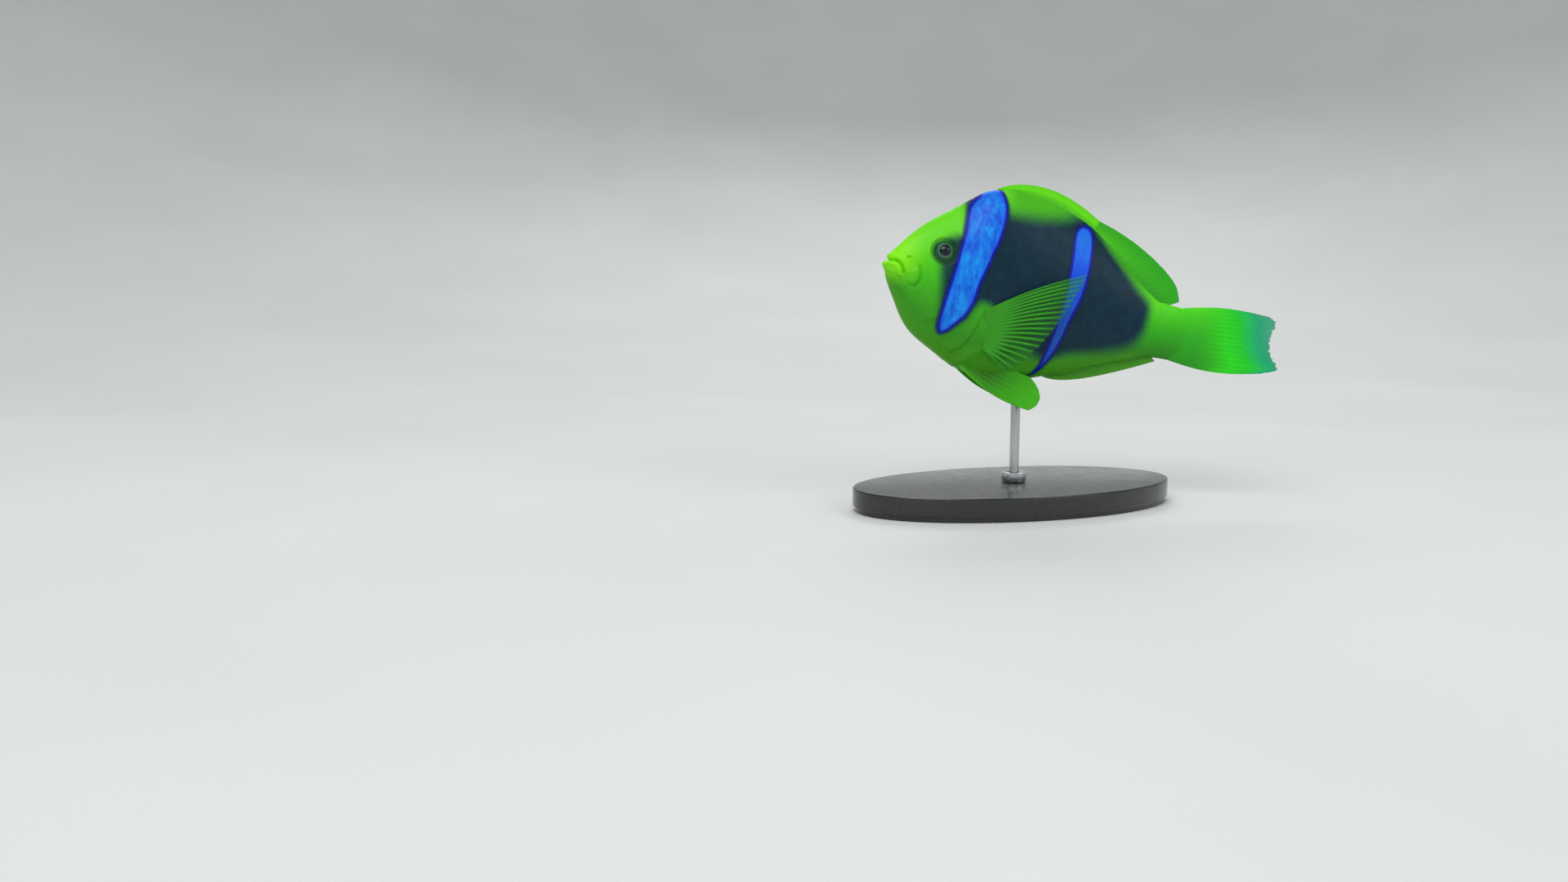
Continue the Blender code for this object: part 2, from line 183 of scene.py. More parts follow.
sky = bpy.data.worlds.new("studio")
sky.use_nodes = True
sky.node_tree.nodes.clear()
glow = node(sky.node_tree, "Background", {"Color": "#eef3f6", "Strength": 0.42})
node(sky.node_tree, "OutputWorld", {"Surface": glow})
bpy.context.scene.world = sky

# The stand's base: an oval board of beech, turned smooth, with a rounded top edge and a fine step below it,
# sprayed with black lacquer and rubbed to a satin.
BASE_TOP_ROUND = 0.0022
BASE_STEP = 0.0009
BASE_FOOT = 0.0014  # height of the foot under the step
BASE_SLOPE = 0.0003  # height over which the step widens


def only_top(obj, height):
    """Selects, in edit mode, the faces that look up at this height."""
    bpy.ops.mesh.select_all(action="DESELECT")
    bpy.ops.object.mode_set(mode="OBJECT")
    for face in obj.data.polygons:
        face.select = face.normal.z > 0.9 and abs(face.center.z - height) < 1e-5
    bpy.ops.object.mode_set(mode="EDIT")
    bpy.ops.mesh.select_mode(type="FACE")


def applied(obj, kind, **settings):
    """Adds a modifier and applies it."""
    modifier = obj.modifiers.new(kind.lower(), kind)
    for name, value in settings.items():
        setattr(modifier, name, value)
    bpy.context.view_layer.objects.active = obj
    bpy.ops.object.modifier_apply(modifier=modifier.name)


def placed(piece, slot, material, *replaced):
    """Finishes a piece: its material, the body that it rides on and the nodes that it stands for. Its slot is
    not used."""
    piece.data.materials.append(material)
    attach(piece, "root")
    if replaced:
        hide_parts(*replaced)


low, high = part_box("stand_base")
bpy.ops.mesh.primitive_cylinder_add(vertices=160, radius=0.5, depth=BASE_FOOT, end_fill_type="NGON")
base = bpy.context.object
base.name = "base_board"
base.scale = (high.x - low.x - 2 * BASE_STEP, high.y - low.y - 2 * BASE_STEP, 1.0)
base.location = ((low.x + high.x) / 2, (low.y + high.y) / 2, low.z + BASE_FOOT / 2)
bpy.ops.object.transform_apply()
edit(base)
only_top(base, low.z + BASE_FOOT)
bpy.ops.mesh.extrude_region_move(TRANSFORM_OT_translate={"value": (0, 0, BASE_SLOPE)})
wide = (high.x - low.x) / (high.x - low.x - 2 * BASE_STEP)
deep = (high.y - low.y) / (high.y - low.y - 2 * BASE_STEP)
bpy.ops.transform.resize(value=(wide, deep, 1))
board = high.z - low.z - BASE_FOOT - BASE_SLOPE
bpy.ops.mesh.extrude_region_move(TRANSFORM_OT_translate={"value": (0, 0, board)})
edit_done()
sharp = math.radians(60)
applied(base, "BEVEL", width=BASE_TOP_ROUND, segments=6, limit_method="ANGLE", angle_limit=sharp)
smoothed(base, 30)

# Black satin lacquer over fine-pored beech: a dark, even film, with the grain just telegraphing through.
lacquer, tree = new_material("black_satin_lacquer")
spot = node(tree, "TexCoord").outputs["Object"]
grain_map = node(tree, "Mapping", {"Vector": spot, "Scale": (60.0, 1400.0, 1400.0)})
grain = node(tree, "TexNoise", {"Vector": grain_map, "Scale": 1.0, "Detail": 3.0, "Roughness": 0.6})
film = node(tree, "TexNoise", {"Vector": spot, "Scale": 220.0, "Detail": 2.0})
colour = node(tree, "ValToRGB", [grain], stops=[(0.35, "#0d0e10"), (0.75, "#1a1b1e")])
rough = node(tree, "MapRange", [film, 0.3, 0.7, 0.22, 0.34])
pores = node(tree, "Bump", {"Height": grain, "Strength": 0.35, "Distance": 0.00003})
finish = {
    "Base Color": colour, "Roughness": rough, "Normal": pores, "Coat Weight": 0.5, "Coat Roughness": 0.12,
}
node(tree, "OutputMaterial", [node(tree, "BsdfPrincipled", finish)])
placed(base, "lacquered_wood", lacquer, "stand_base")

# The rod: 2.8 mm stainless steel, drawn and then brushed along its length. It runs from a drilled hole in
# the base into the fish's belly, where it is glued.
ROD_INTO_BELLY = 0.0012
ROD_CHAMFER = 0.0002
low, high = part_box("stand_rod")
bpy.ops.mesh.primitive_cylinder_add(
    vertices=48,
    radius=(high.x - low.x) / 2,
    depth=high.z - low.z + ROD_INTO_BELLY,
    location=(0.0, 0.0, (low.z + high.z + ROD_INTO_BELLY) / 2),
)
rod = bpy.context.object
rod.name = "rod"
bpy.ops.object.transform_apply()
edit(rod)
only_top(rod, high.z + ROD_INTO_BELLY)
bpy.ops.mesh.bevel(offset=ROD_CHAMFER, segments=2, affect="EDGES")
edit_done()
smoothed(rod, 40)


def brushed_steel(name, stretch):
    """Stainless steel, brushed: grey-white metal with fine scratches drawn out along one direction."""
    made, tree = new_material(name)
    spot = node(tree, "TexCoord").outputs["Object"]
    drawn = node(tree, "Mapping", {"Vector": spot, "Scale": stretch})
    scratch = node(tree, "TexNoise", {"Vector": drawn, "Scale": 1.0, "Detail": 4.0, "Roughness": 0.7})
    colour = node(tree, "ValToRGB", [scratch], stops=[(0.3, "#a9abae"), (0.7, "#cfd0d2")])
    rough = node(tree, "MapRange", [scratch, 0.3, 0.7, 0.20, 0.36])
    bump = node(tree, "Bump", {"Height": scratch, "Strength": 0.4, "Distance": 0.00002})
    finish = {"Base Color": colour, "Metallic": 1.0, "Roughness": rough, "Normal": bump}
    node(tree, "OutputMaterial", [node(tree, "BsdfPrincipled", finish)])
    return made


placed(rod, "steel", brushed_steel("drawn_stainless_steel", (5000.0, 5000.0, 90.0)), "stand_rod")

# The collar: a turned steel ring that hides the drilled hole, chamfered at both ends, with the hex socket
# of the small screw that grips the rod.
COLLAR_CHAMFER = 0.0004
COLLAR_RIM = 0.0016  # width of the flat rim, and depth of the recess inside it
COLLAR_RECESS = 0.0004
SCREW_RADIUS = 0.00075
SOCKET_RADIUS = 0.6 * SCREW_RADIUS
SOCKET_DEPTH = 0.0012
SCREW_SIDE = (-0.80, -0.60)  # which way the screw points
low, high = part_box("stand_ring")
radius = (high.x - low.x) / 2
bpy.ops.mesh.primitive_cylinder_add(
    vertices=64, radius=radius, depth=high.z - low.z, location=(0.0, 0.0, (low.z + high.z) / 2)
)
collar = bpy.context.object
collar.name = "collar"
bpy.ops.object.transform_apply()
edit(collar)
only_top(collar, high.z)
bpy.ops.mesh.inset(thickness=COLLAR_RIM)
bpy.ops.mesh.extrude_region_move(TRANSFORM_OT_translate={"value": (0, 0, -COLLAR_RECESS)})
edit_done()
sharp = math.radians(50)
applied(collar, "BEVEL", width=COLLAR_CHAMFER, segments=2, limit_method="ANGLE", angle_limit=sharp)
bpy.ops.mesh.primitive_cylinder_add(
    vertices=6,
    radius=SOCKET_RADIUS,
    depth=SOCKET_DEPTH,
    location=(radius * SCREW_SIDE[0], radius * SCREW_SIDE[1], (low.z + high.z) / 2),
    rotation=(math.radians(90), 0.0, math.atan2(SCREW_SIDE[1], SCREW_SIDE[0]) + math.radians(90)),
)
socket = bpy.context.object
bpy.ops.object.transform_apply()
applied(collar, "BOOLEAN", object=socket, operation="DIFFERENCE")
bpy.data.objects.remove(socket)
smoothed(collar, 25)
placed(collar, "steel", brushed_steel("turned_stainless_steel", (300.0, 300.0, 9000.0)), "stand_ring")

# The skin: one unbroken skin over head, jaw, gill covers, trunk and tail root, cast in resin. It is a ball
# whose rings are drawn out along the body, then worked with the folds of the face. It is drawn inside the
# solids by the depth of the scales, and its folds stand out from there.
LENGTH = 96.0  # mm, lips to tail root
TAIL_FIN = 0.30  # as a share of the length, like the sections below
TAIL_BEND = math.radians(29.5)  # at the tail fin's tip
BEND_STEPS = 24
NOSE_UP = math.radians(12.5)
SNOUT_HEIGHT = 0.0705
ROD_STATION = 0.500  # where the rod meets the belly
ROD_BELLY = -0.245
COAT_DEPTH = 0.25  # mm
FRAMES = [  # station, back, belly and half width, as shares of the length
    (0.000, 0.008, -0.004, 0.006),
    (0.012, 0.038, -0.028, 0.022),
    (0.030, 0.065, -0.058, 0.034),
    (0.060, 0.104, -0.100, 0.047),
    (0.092, 0.140, -0.143, 0.060),
    (0.130, 0.174, -0.177, 0.072),
    (0.200, 0.228, -0.212, 0.089),
    (0.280, 0.289, -0.245, 0.101),
    (0.360, 0.303, -0.258, 0.105),
    (0.450, 0.295, -0.254, 0.102),
    (0.530, 0.281, -0.236, 0.094),
    (0.610, 0.257, -0.205, 0.082),
    (0.700, 0.207, -0.162, 0.066),
    (0.780, 0.147, -0.127, 0.050),
    (0.850, 0.102, -0.103, 0.037),
    (0.920, 0.084, -0.091, 0.027),
    (1.000, 0.081, -0.088, 0.0095),
    (1.035, 0.078, -0.085, 0.0025),
]
RINGS = [(0.0, 0.0), (0.05, 0.006), (0.20, 0.075), (0.38, 0.185), (0.58, 0.345), (0.78, 0.66), (1.0, 1.035)]
SKIN_AROUND = 288
SKIN_ALONG = 340
WIDEST_AT = 0.46
BACK_KEEL = 1.18
SIDE_CROWDING = 0.25  # packs the skin's points towards the middle of the sides
LIP_CAP = 0.03  # share of the rings that round the snout off, and the tail's end
TAIL_CAP = 0.02
SIDES = {"left": -1.0, "right": 1.0}


def smooth_through(points, at):
    """The values at each place in `at` on smooth curves through points, whose first number is the place."""
    table = np.array(points, float)
    x, y = table[:, 0], table[:, 1:]
    last = len(x) - 1
    at = np.asarray(at, float)
    i = np.clip(np.searchsorted(x, at, side="right") - 1, 0, last - 1)
    before, after = np.maximum(i - 1, 0), np.minimum(i + 2, last)
    span = x[i + 1] - x[i]
    t = np.clip((at - x[i]) / span, 0.0, 1.0)[..., None]
    leave = (y[i + 1] - y[before]) * (span / (x[i + 1] - x[before]))[..., None]
    reach = (y[after] - y[i]) * (span / (x[after] - x[i]))[..., None]
    start, end = 2 * t**3 - 3 * t**2 + 1, 3 * t**2 - 2 * t**3
    return start * y[i] + (t**3 - 2 * t**2 + t) * leave + end * y[i + 1] + (t**3 - t**2) * reach


def share_along(points, share):
    """The points at shares of the way along a smooth line through points, spaced evenly in share."""
    return smooth_through([(k / (len(points) - 1), *p) for k, p in enumerate(points)], share)


def smooth_step(low, high, value):
    t = np.clip((value - low) / (high - low), 0.0, 1.0)
    return t * t * (3 - 2 * t)


def heading_at(u):
    """Which way the midline points: more to the fish's left the further back it is."""
    return -TAIL_BEND * (np.maximum(0.0, u) / (LENGTH * (1.0 + TAIL_FIN))) ** 2


def bent(place):
    """Places in the straight fish, in mm, where they lie in the bent and tilted fish, in metres from its
    lips."""
    u, v, w = np.moveaxis(np.asarray(place, float), -1, 0)
    headings = heading_at(u[..., None] * (np.arange(BEND_STEPS) + 0.5) / BEND_STEPS)
    x = np.cos(headings).mean(-1) * u - np.sin(heading_at(u)) * v
    y = np.sin(headings).mean(-1) * u + np.cos(heading_at(u)) * v
    return np.stack([x, y, w], -1) * 0.001 @ np.array(Matrix.Rotation(NOSE_UP, 3, "Y")).T


over_rod = bent((ROD_STATION * LENGTH, 0.0, ROD_BELLY * LENGTH))
LIPS = np.array([-over_rod[0], -over_rod[1], SNOUT_HEIGHT])


def in_world(place):
    return bent(place) + LIPS


def body_form(along, turn):
    """The plain body's surface, in mm: along runs 0 to 1 from lips to tail, and turn is the angle from the
    back, positive on the right side."""
    station = smooth_through(RINGS, along)[..., 0]
    back, belly, half = np.moveaxis(smooth_through(FRAMES, station), -1, 0) * LENGTH
    back, belly, half = back - COAT_DEPTH, belly + COAT_DEPTH, half - COAT_DEPTH
    middle = belly + WIDEST_AT * (back - belly)
    angle = turn + SIDE_CROWDING * np.sin(2 * turn)
    side, rise = np.sin(angle), np.cos(angle)
    to_end = np.clip(np.minimum(along / LIP_CAP, (1.0 - along) / TAIL_CAP), 0.0, 1.0)
    closing = np.sqrt(np.maximum(1e-6, 1.0 - (1.0 - to_end) ** 2))
    reach = np.where(rise > 0, back - middle, middle - belly) * closing
    v = np.sign(side) * np.abs(side) ** np.where(rise > 0, BACK_KEEL, 1.0) * half * closing
    return np.stack([station * LENGTH, v, middle + rise * reach], -1)


def outward(along, turn):
    """The way out of the plain body's surface."""
    step = 3e-4
    inner = np.clip(along, 2 * step, 1.0 - 2 * step)
    tailward = body_form(inner + step, turn) - body_form(inner - step, turn)
    around = body_form(inner, turn + step) - body_form(inner, turn - step)
    normal = np.cross(tailward, around)
    return normal / np.maximum(1e-12, np.linalg.norm(normal, axis=-1))[..., None]


# The rear edges of cheek and gill cover, and the roots of the paired fins, in the side view and in mm.
CHEEK_EDGE = [(11.0, -13.9), (16.0, -11.8), (19.8, -7.5), (21.3, -1.5), (21.2, 4.5), (20.0, 9.8)]
GILL_EDGE = [(22.5, -21.2), (26.6, -16.6), (28.6, -9.0), (28.9, -1.9), (28.6, 5.0), (26.8, 12.0)]
PECTORAL_BASE = [(29.4, -7.2), (30.6, -12.4), (32.4, -17.0)]
PELVIC_BASE = [(27.8, -22.0), (30.2, -18.6)]

# The face's folds as strokes along such lines: kind, height, half width, then the line's points. A step
# stands up ahead of its line and drops behind it.
STROKES = [
    ("ridge", -1.05, 0.30, [(-1.5, 1.3), (1.1, 1.9), (2.9, 1.8), (4.2, 0.5), (4.9, -1.0)]),  # mouth
    ("ridge", 0.38, 0.75, [(-1.5, 2.5), (1.2, 3.1), (3.5, 2.8), (5.1, 1.4), (6.0, -0.5)]),  # upper lip
    ("ridge", 0.54, 0.70, [(-1.5, 0.0), (0.9, 0.7), (2.3, 0.6), (3.3, -0.4), (4.0, -1.8)]),  # lower lip
    ("ridge", -0.22, 0.45, [(0.2, -1.9), (2.0, -1.9), (3.6, -2.6), (4.8, -3.6)]),  # below the lower lip
    ("ridge", -0.12, 0.45, [(2.6, 4.7), (4.4, 4.3), (6.4, 3.0), (7.6, 1.2)]),  # above the upper lip
    ("ridge", -0.22, 0.35, [(5.0, -1.6), (5.8, -2.9), (7.0, -4.1), (8.3, -4.4)]),  # corner of the mouth
    ("ridge", -0.60, 0.34, [(8.6, 1.6), (9.1, 0.2), (9.4, -1.4), (9.2, -2.8), (8.4, -4.0)]),  # cheek fold
    ("ridge", 0.34, 0.80, [(7.8, -0.2), (8.1, -1.6), (7.5, -3.0)]),  # swellings ahead of it and behind it
    ("ridge", 0.16, 1.00, [(10.5, 0.6), (10.8, -1.8), (9.8, -4.6)]),
    ("ridge", -0.55, 0.36, [(5.4, 3.4), (5.5, 3.4), (5.6, 3.5)]),  # nostril
    ("step", 0.14, 1.40, CHEEK_EDGE),
    ("step", 0.34, 2.40, GILL_EDGE),
    ("ridge", -0.12, 0.55, [(8.5, -11.6), (13.0, -15.4), (19.0, -18.4), (26.0, -21.0)]),  # throat
    ("ridge", 0.50, 1.60, PECTORAL_BASE),
    ("ridge", 0.45, 1.40, PELVIC_BASE),
]
STEP_EDGE = 0.22  # half width of a step's edge, in mm
STEP_FALL = 0.9  # how far behind its edge a step's drop runs out
NOSTRIL = (5.5, 3.4)
NOSTRIL_RIM = (0.16, 0.85, 0.3)  # height, radius and width
SHEATHS = {"dorsal": (31.0, 85.0), "anal": (57.5, 84.0)}  # where the scaly sheaths of the fins' roots run
SHEATH_HEIGHT = 0.9
SHEATH_HALF_WIDTH = 1.4

EYE = np.array([0.157, 0.0475, 0.0705]) * LENGTH
EYE_RADIUS = 0.035 * LENGTH
# Height, radius and width of the rings round the eye: its socket, the lid, a groove and a faint brow.
EYE_RINGS = [(-1.40, 2.72, 0.55), (0.20, 3.45, 0.24), (-0.24, 3.85, 0.22), (0.14, 4.35, 0.36)]

along_grid, turn_grid = np.meshgrid(np.linspace(0.2, 0.6, 120), np.linspace(0.4, 2.2, 120))
to_skin = body_form(along_grid, turn_grid) - EYE
nearest = np.unravel_index(np.linalg.norm(to_skin, axis=-1).argmin(), along_grid.shape)
EYE_AXIS = to_skin[nearest] / np.linalg.norm(to_skin[nearest])


def from_line(points, u, w):
    """Distance in mm from a smooth line in the side view, positive on the right of the way it runs, and the
    share of the line's length at the nearest point."""
    line = share_along(points, np.linspace(0.0, 1.0, 25))
    best, sign, share = np.full(u.shape, 1e3), np.ones(u.shape), np.zeros(u.shape)
    for k, ((u0, w0), (u1, w1)) in enumerate(zip(line, line[1:])):
        run, climb = u1 - u0, w1 - w0
        part = np.clip(((u - u0) * run + (w - w0) * climb) / (run**2 + climb**2), 0.0, 1.0)
        off_u, off_w = u - u0 - part * run, w - w0 - part * climb
        distance = np.hypot(off_u, off_w)
        nearer = distance < best
        best = np.where(nearer, distance, best)
        sign = np.where(nearer, np.where(climb * off_u - run * off_w < 0, -1.0, 1.0), sign)
        share = np.where(nearer, (k + part) / (len(line) - 1), share)
    return best * sign, share


def from_eye(place):
    """Distance in mm from the axis of the eye on the same side."""
    to_place = place * [1.0, 0.0, 1.0] + np.abs(place) * [0.0, 1.0, 0.0] - EYE
    along_axis = to_place @ EYE_AXIS
    off = np.linalg.norm(to_place - along_axis[..., None] * EYE_AXIS, axis=-1)
    return np.where(along_axis > 0, off, 99.0)


def relief(place):
    """How far the folds stand out from the plain body at each place, in mm."""
    u, v, w = np.moveaxis(place, -1, 0)
    height = np.zeros(u.shape)
    for kind, tall, width, points in STROKES:
        margin = 3 * width + 1.0
        low, high = np.min(points, axis=0) - margin, np.max(points, axis=0) + margin
        near = (u > low[0]) & (u < high[0]) & (w > low[1]) & (w < high[1])
        off, share = from_line(points, u[near], w[near])
        if kind == "ridge":
            height[near] += tall * np.exp(-((off / width) ** 2))
            continue
        ends = smooth_step(0.0, 0.15, share) * smooth_step(0.0, 0.15, 1.0 - share)
        ahead = (1 - np.tanh(off / STEP_EDGE)) / 2
        height[near] += tall * ends * ahead * np.exp(-((np.minimum(off, 0) / width) ** 2))
        height[near] -= 0.5 * tall * ends * (1 - ahead) * np.exp(-((np.maximum(off, 0) / STEP_FALL) ** 2))
    from_nostril = np.hypot(u - NOSTRIL[0], w - NOSTRIL[1])
    for off, rings in ((from_nostril, [NOSTRIL_RIM]), (from_eye(place), EYE_RINGS)):
        for tall, radius, width in rings:
            height += tall * np.exp(-(((off - radius) / width) ** 2))
    for fin_name, (first, last) in SHEATHS.items():
        there = smooth_step(first - 1.5, first + 4.0, u) * smooth_step(-last - 1.5, -last + 5.0, -u)
        there = there * ((w > 0) == (fin_name == "dorsal"))
        height += SHEATH_HEIGHT * there * np.exp(-((v / SHEATH_HALF_WIDTH) ** 2))
    return height


def surface(along, turn, rise=0.0):
    """The worked surface, in mm in the straight fish, raised by a further height."""
    plain = body_form(along, turn)
    return plain + outward(along, turn) * (relief(plain) + rise)[..., None]


# The markings, in the side view and in mm: two blue-white bars, the blue-black flank between and behind
# them, and patches of painted shade behind the eye and on the nape.
HEAD_BAR = [
    (27.0, 33.0), (23.7, 26.0), (21.0, 22.4), (19.9, 18.4), (19.2, 12.5), (18.4, 7.5), (17.7, 1.1),
    (17.1, -4.6), (17.0, -10.2), (17.4, -13.6), (18.8, -15.4), (20.7, -14.4), (22.8, -11.6), (24.6, -8.9),
    (25.9, -4.7), (26.3, -0.4), (27.4, 4.3), (28.5, 8.6), (29.9, 12.9), (30.9, 17.4), (31.5, 21.9),
    (31.2, 25.2), (30.0, 28.6), (28.0, 33.0),
]
BODY_BAR = [
    (57.3, 24.3), (55.4, 23.5), (53.7, 20.4), (53.4, 12.0), (53.4, 4.0), (52.8, -4.0), (52.1, -11.5),
    (51.4, -18.5), (50.0, -21.6), (53.0, -18.6), (55.5, -12.4), (57.2, -4.0), (59.4, 3.5), (60.4, 11.0),
    (60.7, 18.5), (60.6, 21.8), (59.5, 23.7),
]
DARK_FLANK = [
    (29.0, 23.4), (33.5, 22.2), (38.0, 22.4), (44.0, 23.3), (50.0, 24.6), (55.0, 26.2), (60.0, 24.8),
    (62.6, 22.6), (66.2, 19.5), (72.4, 14.6), (77.6, 10.1), (82.0, 6.9), (83.0, 4.2), (82.8, 0.6),
    (82.0, -3.2), (79.2, -7.0), (72.5, -10.0), (60.6, -12.9), (53.0, -16.0), (48.0, -15.6), (42.0, -12.4),
    (35.5, -8.0), (29.5, -4.6), (26.5, -6.0), (24.0, -10.8), (22.0, -10.0), (26.0, 3.0), (28.0, 15.0),
]
# Painted shade behind and below the eye, up to the first bar.
EYE_SHADE = [
    (15.6, 11.5), (18.4, 12.6), (20.5, 12.0), (20.0, 0.0), (18.6, -8.0), (17.6, -13.5), (16.9, -11.5),
    (15.8, -6.0), (14.9, -1.5), (14.1, 2.5), (13.7, 5.5), (14.1, 9.0),
]
# Painted shade on the nape, along the first bar's front edge.
NAPE_SHADE = [
    (18.9, 12.0), (19.2, 18.0), (19.6, 21.0), (19.8, 24.0), (25.0, 29.0), (25.0, 22.0), (21.0, 12.0),
]
# How dark the patches of painted shade are, and how far outside and inside their outlines they set in
# and are full.
PAINTED_SHADE_PATCHES = [(0.84, -2.9, 2.4, EYE_SHADE), (0.74, -2.0, 2.2, NAPE_SHADE)]


def inside(outline, u, w):
    """Distance in mm from a smooth closed outline in the side view, positive inside it."""
    line = share_along([*outline, outline[0]], np.linspace(0.0, 1.0, 5 * len(outline) + 1))
    best, within = np.full(u.shape, 1e6), np.zeros(u.shape, bool)
    for (u0, w0), (u1, w1) in zip(line, line[1:]):
        run, climb = u1 - u0, w1 - w0
        part = np.clip(((u - u0) * run + (w - w0) * climb) / max(1e-9, run**2 + climb**2), 0.0, 1.0)
        best = np.minimum(best, (u - u0 - part * run) ** 2 + (w - w0 - part * climb) ** 2)
        if climb:
            crossed = ((w0 > w) != (w1 > w)) & (u < u0 + (w - w0) * run / climb)
            within ^= crossed
    return np.where(within, 1.0, -1.0) * np.sqrt(best)


def write(obj, layers):
    """Writes each layer of values or vectors on a mesh's points."""
    for name, values in layers.items():
        kind, field = ("FLOAT_VECTOR", "vector") if values.ndim == 2 else ("FLOAT", "value")
        layer = obj.data.attributes.new(name, kind, "POINT")
        layer.data.foreach_set(field, values.astype(np.float32).ravel())


def mark(obj, place, tone):
    """Writes the markings on a mesh's points, from their places in the straight fish. The flank's edge is
    softer low down, towards the tail, and on the back ahead of the second bar. The painted shade behind the
    eye and on the nape goes into the same dark layer as the flank."""
    u, w = place[:, 0], place[:, 2]
    back, belly = np.moveaxis(smooth_through(FRAMES, u / LENGTH), -1, 0)[:2] * LENGTH
    # How high a point lies between belly and back: the skin's painted light and shade from above go by it.
    level = (w - belly) / (back - belly)
    bar = np.maximum(inside(HEAD_BAR, u, w), inside(BODY_BAR, u, w))
    soft = 2.2 + 1.2 * smooth_step(2.0, -8.0, w) + 1.2 * smooth_step(62.0, 74.0, u)
    soft += 3.0 * smooth_step(13.0, 20.0, w) * smooth_step(-59.0, -52.0, -u)
    dark = smooth_step(-1.0, 1.0, inside(DARK_FLANK, u, w) / soft)
    # Painted shade behind the eye and on the nape, laid into the same dark layer as the flank.
    for depth, start, full, outline in PAINTED_SHADE_PATCHES:
        dark = np.maximum(dark, depth * smooth_step(start, full, inside(outline, u, w)))
    orbit = from_eye(place)
    write(obj, {"place": place, "bar": bar, "dark": dark, "orbit": orbit, "level": level, "tone": tone})


def points_of(obj):
    points = np.empty(len(obj.data.vertices) * 3, np.float32)
    obj.data.vertices.foreach_get("co", points)
    return points.reshape(-1, 3).astype(float)


def move_points(obj, points):
    obj.data.vertices.foreach_set("co", points.astype(np.float32).ravel())
    obj.data.update()


def turned_out(obj, degrees=None):
    """Turns the faces of a closed shell outwards and shades it smooth."""
    edit(obj)
    bpy.ops.mesh.normals_make_consistent(inside=False)
    edit_done()
    smoothed(obj, degrees)


bpy.ops.mesh.primitive_uv_sphere_add(segments=SKIN_AROUND, ring_count=SKIN_ALONG, radius=1.0)
skin = bpy.context.object
skin.name = "skin"
skin.data.uv_layers[0].name = "OFBake"
ball = points_of(skin)
along = np.arccos(np.clip(ball[:, 2], -1.0, 1.0)) / math.pi
turn = np.arctan2(ball[:, 1], ball[:, 0])
poles = np.hypot(ball[:, 0], ball[:, 1]) < 1e-6
along[poles] = np.round(along[poles])
move_points(skin, in_world(surface(along, turn)))
mark(skin, body_form(along, turn), np.full(len(ball), 0.5))
turned_out(skin)


VARNISH = {"Specular IOR Level": 0.16, "Coat Weight": 0.05, "Coat Roughness": 0.2}  # thin, wiped to a satin


